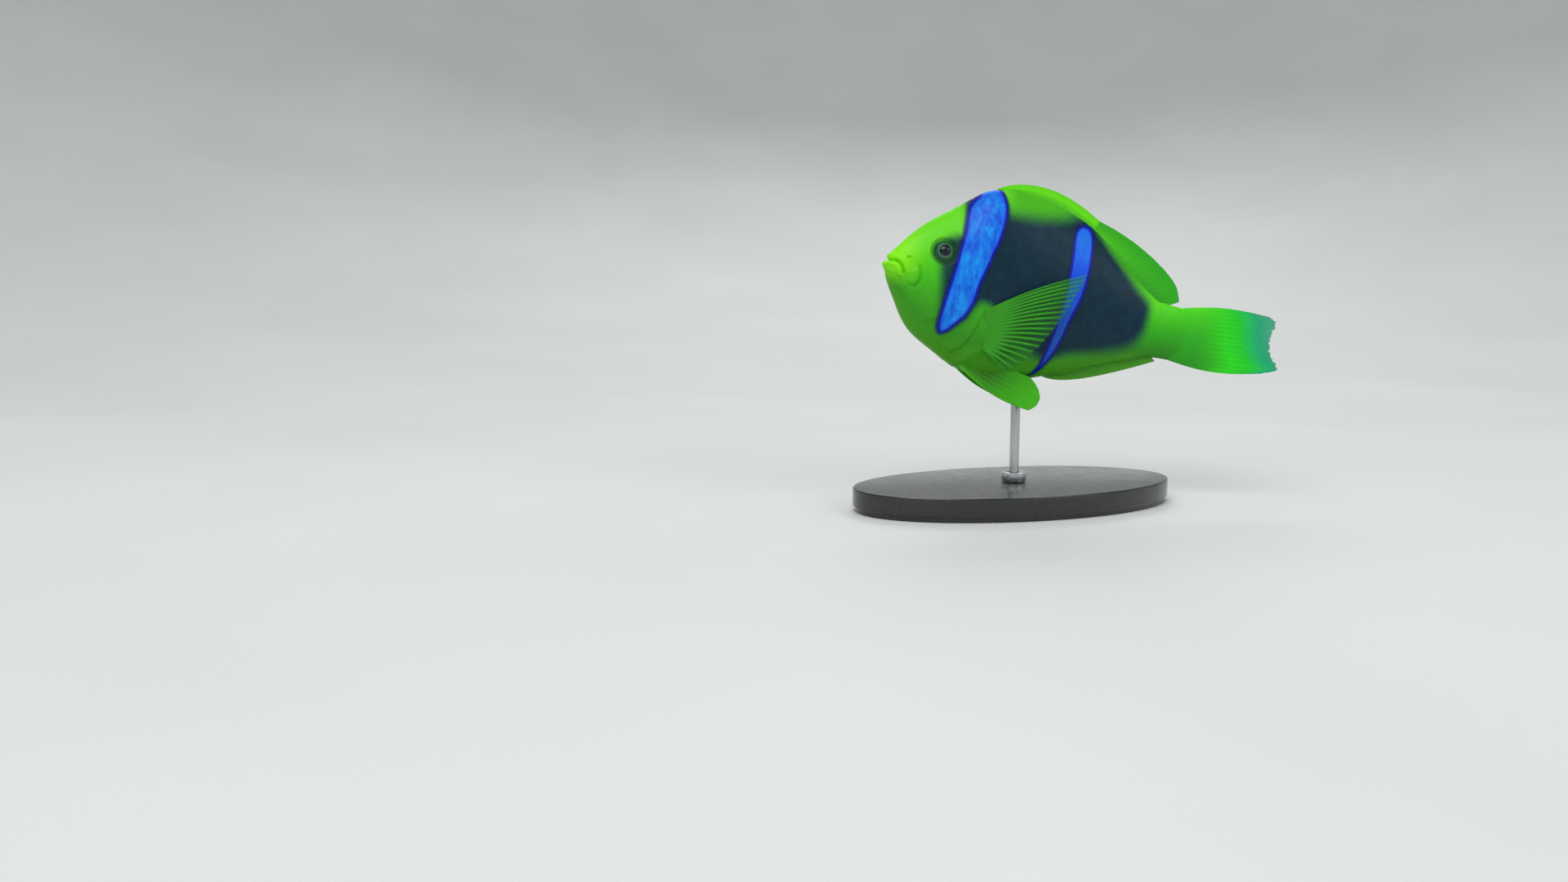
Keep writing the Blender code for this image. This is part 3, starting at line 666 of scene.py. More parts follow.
def fish_skin(name, relief_depth, gloss):
    """Fish skin as painted and varnished resin: lime yellow over the head and belly, blue-black flanks and
    blue bars with a deep blue border. Painted light and shade from above are laid into it: lighter high up
    and darker low down, a painted highlight on the snout and on the lid round the eye, and painted shade on
    the back, in the eye's socket, behind the eye, on the nape and round the bars. Pigment is clouded at 1 to
    3 mm, and pores are 0.3 mm apart."""
    made, tree = new_material(name)
    place = node(tree, "Attribute", attribute_name="place").outputs["Vector"]
    # The dark layer holds both the blue-black flank and the painted shade behind the eye and on the nape.
    bar, dark, orbit, level, tone = (
        node(tree, "Attribute", attribute_name=layer).outputs["Fac"]
        for layer in ("bar", "dark", "orbit", "level", "tone")
    )
    parts = node(tree, "SeparateXYZ", [place]).outputs
    cloud = node(tree, "TexNoise", {"Vector": place, "Scale": 0.35, "Detail": 3.0, "Roughness": 0.55})
    fleck = node(tree, "TexNoise", {"Vector": place, "Scale": 1.6, "Detail": 3.0, "Roughness": 0.6})
    stray = node(tree, "Math", [fleck, 0.5], operation="SUBTRACT")
    height, edge, wobble = (
        node(tree, "Math", [stray, share, value], operation="MULTIPLY_ADD")
        for share, value in ((0.10, level), (0.25, dark), (0.5, bar))
    )
    # Distances from two rings round the eye: the lid's painted highlight and the painted shade in its socket.
    off_rings = [node(tree, "Math", [orbit, radius], operation="SUBTRACT") for radius in (3.15, 3.70)]
    rim, socket = (node(tree, "Math", [off], operation="ABSOLUTE") for off in off_rings)

    # Where each layer of paint lies: what it goes by, from where to where, and how strong it gets.
    shares = {}
    for layer, span in {
        # The front of the snout, above the chin: where the lime painted highlight lies.
        "snout": (parts["X"], 11.0, 2.0, 0.0, 1.0),
        "above chin": (parts["Z"], -6.0, 2.0, 0.0, 1.0),
        # The flank's blue-black, which also lays the painted shade behind the eye and on the nape.
        "flank": (edge, 0.06, 0.94, 0.0, 1.0),
        # A pale ring on the lid round the eye: a painted highlight.
        "lid": (rim, 0.22, 0.0, 0.0, 0.45),
        # A dark ring in the groove round the eye: painted shade.
        "socket": (socket, 0.50, 0.0, 0.0, 0.65),
        "second bar": (parts["X"], 40.0, 45.0, 0.0, 0.85),
        "height on bar": (parts["Z"], -16.0, 22.0, 0.0, 1.0),
        "violet": (wobble, 1.7, 0.9, 0.0, 0.6),
        "border": (wobble, 1.05, 0.60, 0.0, 1.0),
        # A thin dark ring just outside the bars: painted shade.
        "bar edge shade": (wobble, -1.0, 0.0, 0.0, 0.80),
        "bar": (wobble, -0.12, 0.12, 0.0, 1.0),
        "scale": (tone, 0.0, 1.0, 0.97, 1.02),
        # Behind the nape, ahead of the tail and high on the body: where the back's painted shade lies.
        "behind nape": (parts["X"], 29.0, 36.0, 0.0, 1.0),
        "ahead of tail": (parts["X"], 87.0, 77.0, 0.0, 1.0),
        # The tail root's painted light and shade.
        "tail root": (parts["X"], 74.0, 92.0, 0.0, 0.90),
        "high": (level, 0.66, 0.92, 0.0, 0.85),
    }.items():
        shares[layer] = node(tree, "MapRange", span, interpolation_type="SMOOTHSTEP")
    for layer, one, other in (
        # The snout's lime painted highlight.
        ("lips", "snout", "above chin"),
        ("ridge", "behind nape", "ahead of tail"),
        # Painted shade: the back painted a darker green where it faces the lamps.
        ("back", "ridge", "high"),
    ):
        shares[layer] = node(tree, "Math", [shares[one], shares[other]], operation="MULTIPLY")

    # Yellow: lime on brow, snout and the tail root's top, green on the cheeks and along the dorsal fin,
    # darker at the throat and belly. This run from light above to dark below is mostly painted light and
    # shade
    # from above: the snout's lime is a painted highlight, and the green along the dorsal fin and the tail
    # root's dark underside are painted shade. The flank is blue-black. The first bar is royal blue, paler and
    # darker in streaks down its length, and the second goes from azure at the back to slate blue at the
    # belly.
    turned = (0.0, math.radians(-14), 0.0)
    drawn = node(tree, "Mapping", {"Vector": place, "Rotation": turned, "Scale": (1.0, 1.0, 0.38)})
    streak = node(tree, "TexNoise", {"Vector": drawn, "Scale": 0.55, "Detail": 4.0, "Roughness": 0.65})
    paint = {}
    for layer, by, stops in (
        # Painted light and shade from above: olive low on the body, lime high up.
        ("yellow", height,
         [(0.02, "#4aa21e"), (0.98, "#6ade16"), (0.16, "#38961a"), (0.45, "#42b919"), (0.72, "#5ed716")]),
        # Painted light and shade at the tail root: dark green low down, lime high up.
        ("tail root", height, [(0.10, "#2a8a1a"), (1.0, "#58de1a"), (0.50, "#30ac1c"), (0.80, "#46cc1a")]),
        ("flank", cloud, [(0.30, "#042736"), (0.72, "#083246")]),
        ("first bar", streak, [(0.28, "#0c4ad2"), (0.74, "#24aafa"), (0.44, "#1168e8"), (0.58, "#158aef")]),
        ("second bar", shares["height on bar"],
         [(0.0, "#12508c"), (1.0, "#1674ee"), (0.34, "#1250b6"), (0.55, "#0e44e6"), (0.78, "#104cea")]),
    ):
        paint[layer] = node(tree, "ValToRGB", [by], stops=stops)
    blue, colour = paint["first bar"], paint["yellow"]
    for layer, over in (("second bar", paint["second bar"]), ("violet", "#2050f0"), ("border", "#02159a")):
        blue = node(tree, "Mix", {0: shares[layer], 6: blue, 7: over}, data_type="RGBA").outputs[2]
    for layer, over in (
        # A painted highlight on the snout, painted shade on the back, painted light and shade at the tail
        # root; then the flank, with the painted shade by the eye and nape, a painted highlight on the lid,
        # and painted shade in the eye's socket and round the bars.
        ("lips", "#8af214"), ("back", "#46b21a"), ("tail root", paint["tail root"]),
        ("flank", paint["flank"]), ("lid", "#57a845"), ("socket", "#143f26"), ("bar edge shade", "#061a3a"),
        ("bar", blue),
    ):
        colour = node(tree, "Mix", {0: shares[layer], 6: colour, 7: over}, data_type="RGBA").outputs[2]
    colour = node(tree, "HueSaturation", {"Value": shares["scale"], "Color": colour})

    pore = node(tree, "TexNoise", {"Vector": place, "Scale": 3.2, "Detail": 2.0})
    bump = node(tree, "Bump", {"Height": pore, "Strength": 0.5, "Distance": relief_depth})
    rough = node(tree, "MapRange", [fleck, 0.3, 0.7, gloss - 0.05, gloss + 0.07])
    finish = {"Base Color": colour, "Roughness": rough, "Normal": bump, **VARNISH}
    node(tree, "OutputMaterial", [node(tree, "BsdfPrincipled", finish)])
    return made


placed(
    skin, "skin_yellow", fish_skin("varnished_fish_skin", 0.00005, 0.42),
    "head", "lower_jaw", "gill_cover_left", "gill_cover_right", "trunk", "tail_root",
)

# The scales: thin horny plates in rows along the body, each rooted under the one ahead and free at its
# rounded rear edge. They cover cheeks, gill covers, trunk and tail root, smallest on the face. Lips, snout
# and chin are bare. One plate is shaped, and each coat piece is an array of it laid over the skin.
ROW_SPACING = [
    (12.0, 0.90), (20.0, 1.10), (30.0, 1.50), (45.0, 1.75), (65.0, 1.60), (85.0, 1.25), (100.0, 0.95),
]
COLUMN_STEP = 0.43  # this and the next three are shares of the spacing of the rows
SCALE_HALF_LENGTH = 0.64
SCALE_HALF_WIDTH = 0.57
EDGE_ROOM = 0.20  # left free at back and belly
SCALE_ROOT_WIDTH = 0.62  # as a share of the full width
SCALE_ROUNDING = 0.42  # how far the corners of the free edge are drawn back
SCALE_THICKNESS = 0.05  # mm, as are the next three
ROOT_DEPTH = 0.10
FREE_HEIGHT = 0.15
LAST_DEPTH = 0.22  # how far the last scales sink into the skin, to end it without a step
FIRST_SCALE = 12.5
LAST_SCALE = 95.0
BARE_FACE = [
    (22.0, -21.0), (17.0, -16.5), (13.6, -10.0), (12.6, -4.0), (13.4, 0.8), (17.2, 2.0), (19.6, 5.5),
    (19.4, 10.5), (16.2, 13.5), (16.6, 22.0),
]
EYE_GAP = 4.0  # bare skin round the eye's axis, beside the gill cover's edge and at the roots of the fins
GILL_GAP = (-0.35, 0.75)
PECTORAL_GAP = 1.1
PELVIC_GAP = 1.0
PATCH = 0.0028  # width of a scale's patch on the bake map
ZONES = {"head": (0.0, 31.0), "trunk": (31.0, 68.0), "tail": (68.0, 120.0)}


def plate():
    """One scale, two units square before it is laid: x runs to its free edge, z tells its upper and lower
    face."""
    bpy.ops.mesh.primitive_grid_add(x_subdivisions=4, y_subdivisions=4, size=2.0)
    made = bpy.context.object
    applied(made, "SOLIDIFY", thickness=1.0, offset=0.0)
    return made


def columns():
    """The scales' roots on the right side: along, turn and the spacing of the rows there."""
    ring = np.linspace(0.0, 1.0, 2001)
    stations = smooth_through(RINGS, ring)[:, 0] * LENGTH
    turns = np.linspace(0.0, math.pi, 181)
    found = []
    u, odd = FIRST_SCALE, 0
    while u < LAST_SCALE:
        spacing = float(smooth_through(ROW_SPACING, u)[0])
        along = float(np.interp(u, stations, ring))
        rim = body_form(np.full(turns.shape, along), turns)
        arc = np.concatenate([[0.0], np.cumsum(np.linalg.norm(np.diff(rim, axis=0), axis=1))])
        middle = np.interp(math.pi / 2, turns, arc)
        first = math.ceil((EDGE_ROOM * spacing - middle) / spacing - 0.5 * odd)
        last = math.floor((arc[-1] - EDGE_ROOM * spacing - middle) / spacing - 0.5 * odd)
        rows = (np.arange(first, last + 1) + 0.5 * odd) * spacing + middle
        for at, row in zip(np.interp(rows, arc, turns), rows):
            reach = np.interp(row + 0.5, arc, turns) - np.interp(row - 0.5, arc, turns)
            found.append((along, at, spacing, reach))
        u += COLUMN_STEP * spacing
        odd = 1 - odd
    return np.array(found)


roots = columns()
root_place = body_form(roots[:, 0], roots[:, 1])
u, w = root_place[:, 0], root_place[:, 2]
spacing = roots[:, 2]
off_gill, gill_share = from_line(GILL_EDGE, u, w)
kept = from_line(BARE_FACE, u, w)[0] > 0.5 * spacing
kept &= from_eye(root_place) > EYE_GAP + 0.5 * spacing
kept &= ~((off_gill > GILL_GAP[0]) & (off_gill < GILL_GAP[1]) & (gill_share > 0.04) & (gill_share < 0.96))
kept &= np.abs(from_line(PECTORAL_BASE, u, w)[0]) > PECTORAL_GAP
kept &= np.abs(from_line(PELVIC_BASE, u, w)[0]) > PELVIC_GAP
roots, root_place = roots[kept], root_place[kept]
seed = np.random.default_rng(7)
coat_skin = fish_skin("varnished_fish_scales", 0.00003, 0.40)

for zone, (front, rear) in ZONES.items():
    for side_name, side in SIDES.items():
        mine = roots[(root_place[:, 0] >= front) & (root_place[:, 0] < rear)]
        count = len(mine)
        coat = plate()
        coat.name = f"scales_{zone}_{side_name}"
        shape = points_of(coat)
        applied(coat, "ARRAY", count=count, use_relative_offset=False)
        x, y = np.tile(shape[:, 0], (count, 1)), np.tile(shape[:, 1], (count, 1))
        upper = np.tile(shape[:, 2] > 0, (count, 1))
        back_share = (x + 1) / 2
        across = y * (SCALE_ROOT_WIDTH + (1 - SCALE_ROOT_WIDTH) * smooth_step(0.0, 0.6, back_share))
        tailward = x - SCALE_ROUNDING * y**2 * back_share**2
        along0, turn0, spacing, per_mm = (mine[:, k : k + 1] for k in range(4))
        step = 1e-3
        run = body_form(along0 + step, turn0) - body_form(along0 - step, turn0)
        run = np.linalg.norm(run, axis=-1) / (2 * step)
        size = spacing * seed.uniform(0.96, 1.04, (count, 1))
        along = along0 + tailward * SCALE_HALF_LENGTH * size / run
        turn = turn0 + across * SCALE_HALF_WIDTH * size * per_mm
        turn = turn + seed.uniform(-0.03, 0.03, (count, 1)) * per_mm
        lift = -ROOT_DEPTH + (FREE_HEIGHT + ROOT_DEPTH) * back_share - 0.05 * across**2
        lift = lift * spacing / 1.7 + seed.uniform(-0.012, 0.012, (count, 1))
        lift = lift - LAST_DEPTH * smooth_step(80.0, LAST_SCALE, body_form(along0, turn0)[..., 0])
        under = np.minimum(lift - SCALE_THICKNESS, lift - 0.11 + 0.05 * back_share)
        lift = np.where(upper, lift, under)
        along = np.clip(along, 0.0, 1.0)
        place = surface(along.ravel(), turn.ravel(), lift.ravel())
        place[:, 1] *= side
        move_points(coat, in_world(place))
        flat = body_form(along.ravel(), turn.ravel())
        flat[:, 1] *= side
        mark(coat, flat, np.repeat(seed.uniform(0.0, 1.0, count), len(shape)))
        uv = coat.data.uv_layers[0] if coat.data.uv_layers else coat.data.uv_layers.new()
        uv.name = "OFBake"
        corner = np.empty(len(coat.data.loops), np.int32)
        coat.data.loops.foreach_get("vertex_index", corner)
        root_u = np.repeat(0.5 + side * turn0[:, 0] / (2 * math.pi), len(shape))[corner]
        root_v = np.repeat(1.0 - along0[:, 0], len(shape))[corner]
        patch = [root_u + y.ravel()[corner] * PATCH / 2, root_v - x.ravel()[corner] * PATCH / 2]
        uv.data.foreach_set("uv", np.clip(np.stack(patch, 1), 0.0, 1.0).astype(np.float32).ravel())
        turned_out(coat, 50)
        placed(coat, "skin_dark" if zone == "trunk" else "skin_yellow", coat_skin)

# The eyes: glass eyes set into the sockets. The pupil is a low dome, a thin paler ring runs round it, and
# the iris is a shallow dish of dark green, paler outside.
PUPIL = 1.60  # radii in mm
RING = 2.00
IRIS = 3.00
EYE_RIM = 3.60
PUPIL_DOME = 0.14
EYE_RELIEF = [(0.07, RING - 0.12, 0.10), (-0.07, 2.50, 0.40)]  # height, radius and width of ring and dish
EYE_FLATTENED = 0.10


def glass_eye(name):
    """Painted glass: a black-teal pupil, a thin dull ring and a dark green iris under a clear dome."""
    made, tree = new_material(name)
    at = node(tree, "Attribute", attribute_name="eye").outputs["Vector"]
    parts = node(tree, "SeparateXYZ", {"Vector": at}).outputs
    flat = node(tree, "CombineXYZ", [parts["X"], parts["Y"]])
    radius = node(tree, "VectorMath", [flat], operation="LENGTH").outputs["Value"]
    fleck = node(tree, "TexNoise", {"Vector": at, "Scale": 3.0, "Detail": 4.0, "Roughness": 0.7})
    stray = node(tree, "Math", [fleck, 0.16, radius], operation="MULTIPLY_ADD")
    share = node(tree, "Math", [stray, EYE_RIM], operation="DIVIDE")
    rings = [
        (PUPIL, "#03181a"), (EYE_RIM, "#1a5220"), (PUPIL + 0.16, "#0c3230"), (RING - 0.08, "#467e62"),
        (RING + 0.08, "#3f7556"), (RING + 0.26, "#1d5636"), (IRIS - 0.10, "#164a2a"),
        (IRIS + 0.12, "#3b8048"),
    ]
    tint = node(tree, "ValToRGB", [share], stops=[(at / EYE_RIM, shade) for at, shade in rings])
    glint = node(tree, "MapRange", [fleck, 0.3, 0.7, 0.8, 1.2])
    tint = node(tree, "HueSaturation", {"Value": glint, "Color": tint})
    bump = node(tree, "Bump", {"Height": fleck, "Strength": 0.2, "Distance": 0.00002})
    finish = {
        "Base Color": tint, "Roughness": 0.24, "Normal": bump, "IOR": 1.34, "Coat Weight": 0.4,
        "Coat Roughness": 0.05, "Coat IOR": 1.34,
    }
    node(tree, "OutputMaterial", [node(tree, "BsdfPrincipled", finish)])
    return made


glass = glass_eye("painted_glass_eye")
for side_name, side in SIDES.items():
    bpy.ops.mesh.primitive_uv_sphere_add(segments=96, ring_count=80, radius=1.0)
    eye = bpy.context.object
    eye.name = f"glass_eye_{side_name}"
    ball = points_of(eye)
    off = np.hypot(ball[:, 0], ball[:, 1]) * EYE_RADIUS
    front = ball[:, 2] > 0
    worked = PUPIL_DOME * np.sqrt(np.maximum(0.0, 1 - (off / PUPIL) ** 2))
    for tall, radius, width in EYE_RELIEF:
        worked += tall * np.exp(-(((off - radius) / width) ** 2))
    high = ball[:, 2] * (EYE_RADIUS - EYE_FLATTENED) + worked * front
    axis = Vector(EYE_AXIS * [1.0, side, 1.0])
    east = axis.cross(Vector((0.0, 0.0, 1.0))).normalized()
    north = east.cross(axis)
    turned = np.array([-east, north, axis])
    local = np.stack([ball[:, 0] * EYE_RADIUS, ball[:, 1] * EYE_RADIUS, high], 1)
    move_points(eye, in_world(EYE * [1.0, side, 1.0] + local @ turned))
    write(eye, {"eye": local})
    turned_out(eye)
    placed(eye, "eye", glass, f"eye_{side_name}")

# The fins on the midline: skin stretched over bony rays, with stout single spines at the front of the
# dorsal fin and soft forked rays elsewhere. Each is one thin slab, thickened along its rays and drawn out
# from its root in the body to its edge, both given as shares of the body's length.
DORSAL_SPINES_ROOT = [(0.310, 0.270), (0.400, 0.275), (0.500, 0.262), (0.626, 0.224)]
DORSAL_SPINES_EDGE = [
    (0.302, 0.298), (0.348, 0.321), (0.403, 0.334), (0.462, 0.3375), (0.525, 0.329), (0.590, 0.309),
    (0.653, 0.2800),
]
DORSAL_RAYS_ROOT = [(0.6225, 0.2265), (0.720, 0.170), (0.800, 0.112), (0.880, 0.070)]
DORSAL_RAYS_EDGE = [
    (0.6495, 0.2815), (0.720, 0.263), (0.800, 0.232), (0.880, 0.188), (0.935, 0.143), (0.958, 0.096),
]
ANAL_ROOT = [(0.574, -0.187), (0.680, -0.145), (0.780, -0.105), (0.875, -0.072)]
ANAL_EDGE = [
    (0.566, -0.216), (0.606, -0.2205), (0.660, -0.213), (0.740, -0.187), (0.840, -0.142), (0.925, -0.099),
]
CAUDAL_ROOT = [(0.960, 0.076), (0.965, 0.024), (0.965, -0.032), (0.960, -0.086)]
CAUDAL_EDGE = [
    (1.240, 0.106), (1.262, 0.091), (1.258, 0.058), (1.258, 0.024), (1.270, -0.010), (1.297, -0.046),
    (1.255, -0.068),
]
COLUMNS_PER_RAY = 12
FORK_SPREAD = 0.24  # how far a forked ray's branches part, as a share of the way to the next ray


def midline_fan(root, edge, sweeps):
    """The middle of a fin on the midline: a runs front to back along the root, and t from root to edge."""

    def point(a, t):
        start, end = share_along(root, a), share_along(edge, a)
        drawn = end - start
        sweep = (sweeps[0] + (sweeps[1] - sweeps[0]) * a) * np.sin(math.pi * t)
        bow = np.stack([drawn[..., 1], -drawn[..., 0]], -1) * sweep[..., None]
        flat = start + drawn * t[..., None] + bow
        return np.stack([flat[..., 0], np.zeros(a.shape), flat[..., 1]], -1) * LENGTH

    return point


def fin(
    name, replaced, material, point, rays, rows, radii, web, emerge,
    fork=2.0, notch=0.0, ragged=0.01, flesh=0.45, bare=0.0, broad=1.0,
):
    """A fin: rays of these radii, in mm, at root and edge, broad times as wide as high, in a web this
    thick each side, leaving the body at share emerge. The rays show from share bare on and fork from share
    fork on. The web is notched between them, its edge is ragged by a share of its length, and flesh
    thickens its root."""
    columns = COLUMNS_PER_RAY * (rays - 1)
    bpy.ops.mesh.primitive_grid_add(
        x_subdivisions=columns, y_subdivisions=rows, size=1.0, location=(0.5, 0.5, 0.0)
    )
    made = bpy.context.object
    made.name = name
    bpy.ops.object.transform_apply()
    applied(made, "SOLIDIFY", thickness=1.0, offset=0.0)
    slab = points_of(made)
    a, t, face = np.clip(slab[:, 0], 0, 1), np.clip(slab[:, 1], 0, 1), np.sign(slab[:, 2])
    cell = a * (rays - 1)
    off = np.abs(cell - np.round(cell))
    off_branch = np.abs(off - FORK_SPREAD * smooth_step(fork, fork + 0.5, t))
    lengths = seed.uniform(1.0 - ragged, 1.0, 4 * rays)
    length = np.interp(cell * 4, np.arange(4 * rays), lengths)
    reach = t * (1.0 - (1.0 - length + notch * (2 * np.minimum(off, 0.5)) ** 2) * smooth_step(0.5, 1.0, t))
    step = 1e-3
    middle = point(a, reach)
    along_root = (point(a + step, reach) - point(a - step, reach)) / (2 * step)
    along_ray = (point(a, reach + step) - point(a, reach - step)) / (2 * step)
    normal = np.cross(along_ray, along_root)
    normal /= np.linalg.norm(normal, axis=-1)[:, None]
    width = np.linalg.norm(along_root, axis=-1) / (rays - 1)
    shown = np.clip((t - emerge) / (1.0 - emerge), 0.0, 1.0)
    radius = radii[0] + (radii[1] - radii[0]) * shown
    ray = np.exp(-((off_branch * width / (radius * broad)) ** 2))
    if bare:
        ray = ray + (0.6 - ray) * smooth_step(1.6 * bare, 0.4 * bare, shown)
    half = web + (radius - web) * ray + flesh * np.exp(-shown / 0.10)
    from_ends = np.minimum(np.minimum(a, 1.0 - a) * columns, 2.0) / 2.0
    edge = np.minimum(np.minimum(1.0 - t, 0.02) / 0.02, from_ends)
    half *= 0.25 + 0.75 * np.sqrt(np.clip(1 - (1 - edge) ** 2, 0.0, 1.0))
    move_points(made, in_world(middle + normal * (face * half)[:, None]))
    write(made, {"fan": np.stack([a, shown, ray], 1), "place": middle})
    turned_out(made)
    placed(made, "fin", material, replaced)


def fin_skin(name, stops, ray_tint, ray_share, clear, slant=0.0, root_stops=None):
    """Fin skin as tinted clear resin over rays. Its colours run from root to edge, held back at the fin's
    front end by slant, or at its rear end if that is negative. At the root they may also run from front to
    rear. The figures in clear are for the web and then the rays: the shares of the way out between which
    they thin, and the opacity they thin to."""
    made, tree = new_material(name)
    fan = node(tree, "Attribute", attribute_name="fan").outputs["Vector"]
    place = node(tree, "Attribute", attribute_name="place").outputs["Vector"]
    parts = node(tree, "SeparateXYZ", [fan]).outputs
    fleck = node(tree, "TexNoise", {"Vector": place, "Scale": 0.8, "Detail": 2.0, "Roughness": 0.6})
    turned = node(tree, "Math", [parts["X"], slant, -max(0.0, slant)], operation="MULTIPLY_ADD")
    further = node(tree, "Math", [parts["Y"], turned], operation="ADD")
    stray = node(tree, "Math", [fleck, 0.5], operation="SUBTRACT")
    along = node(tree, "Math", [stray, 0.12, further], operation="MULTIPLY_ADD")
    colour = node(tree, "ValToRGB", [along], stops=stops)
    if root_stops:
        near = node(tree, "MapRange", [parts["Y"], 0.55, 0.05], interpolation_type="SMOOTHSTEP")
        root = node(tree, "ValToRGB", [parts["X"]], stops=root_stops)
        colour = node(tree, "Mix", {0: near, 6: colour, 7: root}, data_type="RGBA").outputs[2]
    share = node(tree, "Math", [parts["Z"], ray_share], operation="MULTIPLY")
    colour = node(tree, "Mix", {0: share, 6: colour, 7: ray_tint}, data_type="RGBA").outputs[2]
    web, rays = (
        node(tree, "MapRange", [further, start, end, 1.0, opacity], interpolation_type="SMOOTHSTEP")
        for start, end, opacity in clear
    )
    alpha = node(tree, "Mix", {0: parts["Z"], 2: web, 3: rays})
    bump = node(tree, "Bump", {"Height": fleck, "Strength": 0.4, "Distance": 0.00004})
    rough = node(tree, "MapRange", [fleck, 0.3, 0.7, 0.36, 0.50])
    finish = {"Base Color": colour, "Roughness": rough, "Normal": bump, "Alpha": alpha, **VARNISH}
    node(tree, "OutputMaterial", [node(tree, "BsdfPrincipled", finish)])
    return made


spiny = fin_skin(
    "dorsal_fin_skin", [(0.0, "#4cb81a"), (1.0, "#66d816"), (0.28, "#54ca18"), (0.62, "#6aea14")],
    "#6fe01f", 0.12, ((0.9, 1.0, 0.96), (0.9, 1.0, 1.0)),
)
# The soft dorsal fin's root is painted lighter, most at its front: painted light where the upright fin would
# show darker than the back beside it.
soft = fin_skin(
    "soft_dorsal_fin_skin", [(0.0, "#44ba18"), (1.0, "#229a6c"), (0.40, "#34ae1c"), (0.84, "#2eac20")],
    "#3abc24", 0.20, ((0.84, 1.0, 0.70), (0.84, 1.0, 0.86)), slant=0.50,
    root_stops=[(0.0, "#54c81a"), (1.0, "#2c9a1c"), (0.22, "#46bc1a"), (0.60, "#36aa1c")],
)
# The anal fin's olive, darker than the dorsal fins, is partly its own colour and partly painted shade under
# the belly.
anal_skin = fin_skin(
    "anal_fin_skin", [(0.0, "#3a8c1c"), (1.0, "#46961e"), (0.5, "#3c8a1c")], "#48961c", 0.25,
    ((0.9, 1.0, 0.95), (0.9, 1.0, 1.0)),
)
# The tail fin's root is painted bright at the top and dark below: painted light and shade from above,
# matching the tail root's.
tail_skin = fin_skin(
    "tail_fin_skin",
    [(0.0, "#38bf1b"), (1.0, "#1ca28c"), (0.32, "#2cdc1a"), (0.52, "#22ca2c"), (0.74, "#1eaa7c")],
    "#36e43a", 0.25, ((0.62, 1.0, 0.58), (0.62, 1.0, 0.82)), slant=-0.24,
    root_stops=[
        (0.0, "#5ce01c"), (1.0, "#267e19"), (0.22, "#46c818"), (0.50, "#33a61a"), (0.78, "#2c8e19"),
    ],
)
fin(
    "dorsal_spines", "dorsal_fin_spines", spiny,
    midline_fan(DORSAL_SPINES_ROOT, DORSAL_SPINES_EDGE, (0.05, 0.05)),
    rays=10, rows=40, radii=(0.30, 0.17), web=0.15, emerge=0.42, ragged=0.0,
)
fin(
    "dorsal_rays", "dorsal_fin_rays", soft, midline_fan(DORSAL_RAYS_ROOT, DORSAL_RAYS_EDGE, (0.05, 0.08)),
    rays=16, rows=52, radii=(0.24, 0.11), web=0.10, emerge=0.38, fork=0.55,
)
fin(
    "anal_rays", "anal_fin", anal_skin, midline_fan(ANAL_ROOT, ANAL_EDGE, (-0.06, -0.06)),
    rays=15, rows=40, radii=(0.24, 0.12), web=0.11, emerge=0.35, fork=0.55,
)
fin(
    "tail_rays", "caudal_fin", tail_skin, midline_fan(CAUDAL_ROOT, CAUDAL_EDGE, (-0.05, 0.06)),
    rays=17, rows=90, radii=(0.30, 0.10), web=0.10, emerge=0.16, fork=0.35, notch=0.006, ragged=0.022,
    flesh=0.55, bare=0.30,
)

# The paired fins: pectoral fins fanned back from behind the gill covers, so thin that the flank shows
# between their rays, and pelvic fins below, each with a stout leading edge painted bright near the root as
# a painted highlight, and dark olive at the root as painted shade under the belly.
PECTORAL_ROOT = [(0.302, -0.069, 0.097), (0.335, -0.178, 0.0735)]
PECTORAL_FAN = [31.0, 27.8, 23.5, 17.0, 8.0, -7.0, -32.0]
PECTORAL_LENGTHS = [0.328, 0.305, 0.267, 0.231, 0.190, 0.146, 0.098]
PELVIC_ROOT = [(0.285, -0.236, 0.024), (0.318, -0.190, 0.022)]
PELVIC_FAN = {"left": [-20.5, -11.0], "right": [-16.0, -6.5]}
PELVIC_LENGTHS = [0.268, 0.277, 0.278, 0.268, 0.245, 0.210]


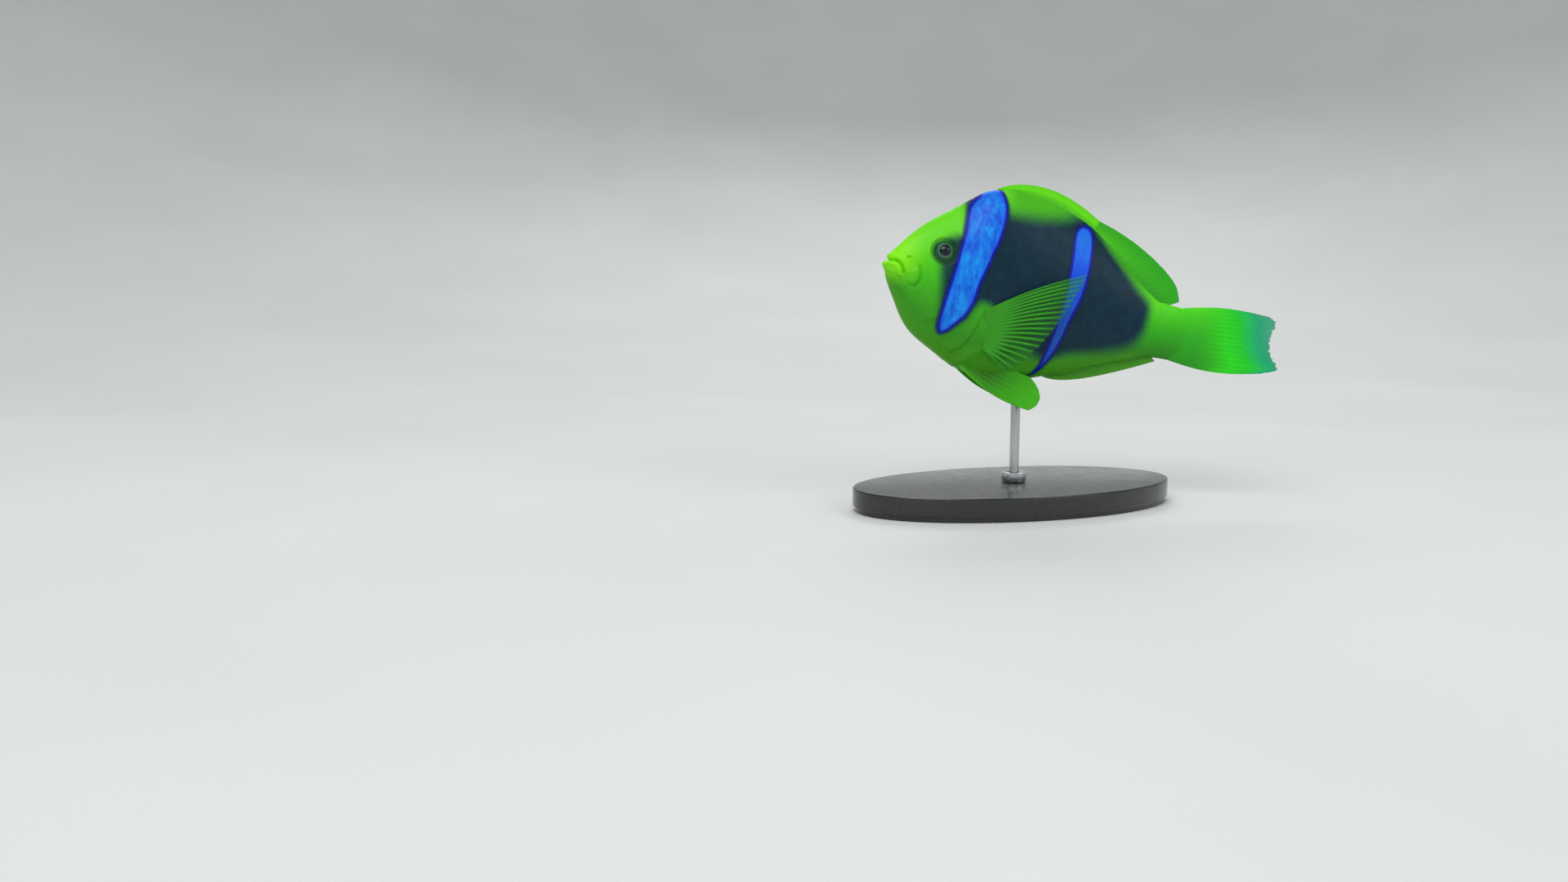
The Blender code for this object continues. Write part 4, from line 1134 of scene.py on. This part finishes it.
def paired_fan(side, root, fan, lengths, out, bow, cup=0.0):
    """The middle of one fin of a pair: a turns from its first ray to its last, and t runs from root to
    edge. It stands out from the body by an angle in degrees, bows in its plane and cups back towards the
    body."""

    def point(a, t):
        start = np.array(root[0]) + (np.array(root[1]) - root[0]) * a[..., None]
        length = share_along([(k,) for k in lengths], a)[..., 0]
        angle = np.radians(share_along([(k,) for k in fan], a)[..., 0])
        ahead = length * t * math.cos(math.radians(out))
        u = start[..., 0] + ahead * np.cos(angle)
        w = start[..., 1] + ahead * np.sin(angle) + bow * (1 - a) * np.sin(math.pi * t)
        v = start[..., 2] + length * t * math.sin(math.radians(out)) - cup * length * t * t
        return np.stack([u, side * v, w], -1) * LENGTH

    return point


pectoral_skin = fin_skin(
    "pectoral_fin_skin", [(0.0, "#348e18"), (1.0, "#226c2c"), (0.14, "#2e861a"), (0.36, "#185c20")],
    "#3da022", 0.95, ((0.10, 0.42, 0.18), (0.62, 1.0, 0.45)), slant=-0.16,
)
# Pelvic fins: the bright front end of the root is a painted highlight on the leading edge, and the dark olive
# root is painted shade under the belly.
pelvic_skin = fin_skin(
    "pelvic_fin_skin", [(0.0, "#2f6a18"), (1.0, "#48bc19"), (0.20, "#337a1a"), (0.50, "#3ea41a")],
    "#4fc41e", 0.25, ((0.75, 1.0, 0.88), (0.75, 1.0, 1.0)),
    root_stops=[(0.0, "#4fc01a"), (1.0, "#2f6a18"), (0.15, "#3a8a18"), (0.5, "#2f6a18")],
)
for side_name, side in SIDES.items():
    fin(
        f"pectoral_rays_{side_name}", f"pectoral_fin_{side_name}", pectoral_skin,
        paired_fan(side, PECTORAL_ROOT, PECTORAL_FAN, PECTORAL_LENGTHS, out=15.0, bow=0.013, cup=0.03),
        rays=19, rows=70, radii=(0.20, 0.15), web=0.07, emerge=0.0, flesh=0.55, bare=0.13, broad=3.0,
    )
    fin(
        f"pelvic_rays_{side_name}", f"pelvic_fin_{side_name}", pelvic_skin,
        paired_fan(side, PELVIC_ROOT, PELVIC_FAN[side_name], PELVIC_LENGTHS, out=8.0, bow=-0.020),
        rays=7, rows=64, radii=(0.34, 0.14), web=0.14, emerge=0.10, fork=0.40,
    )
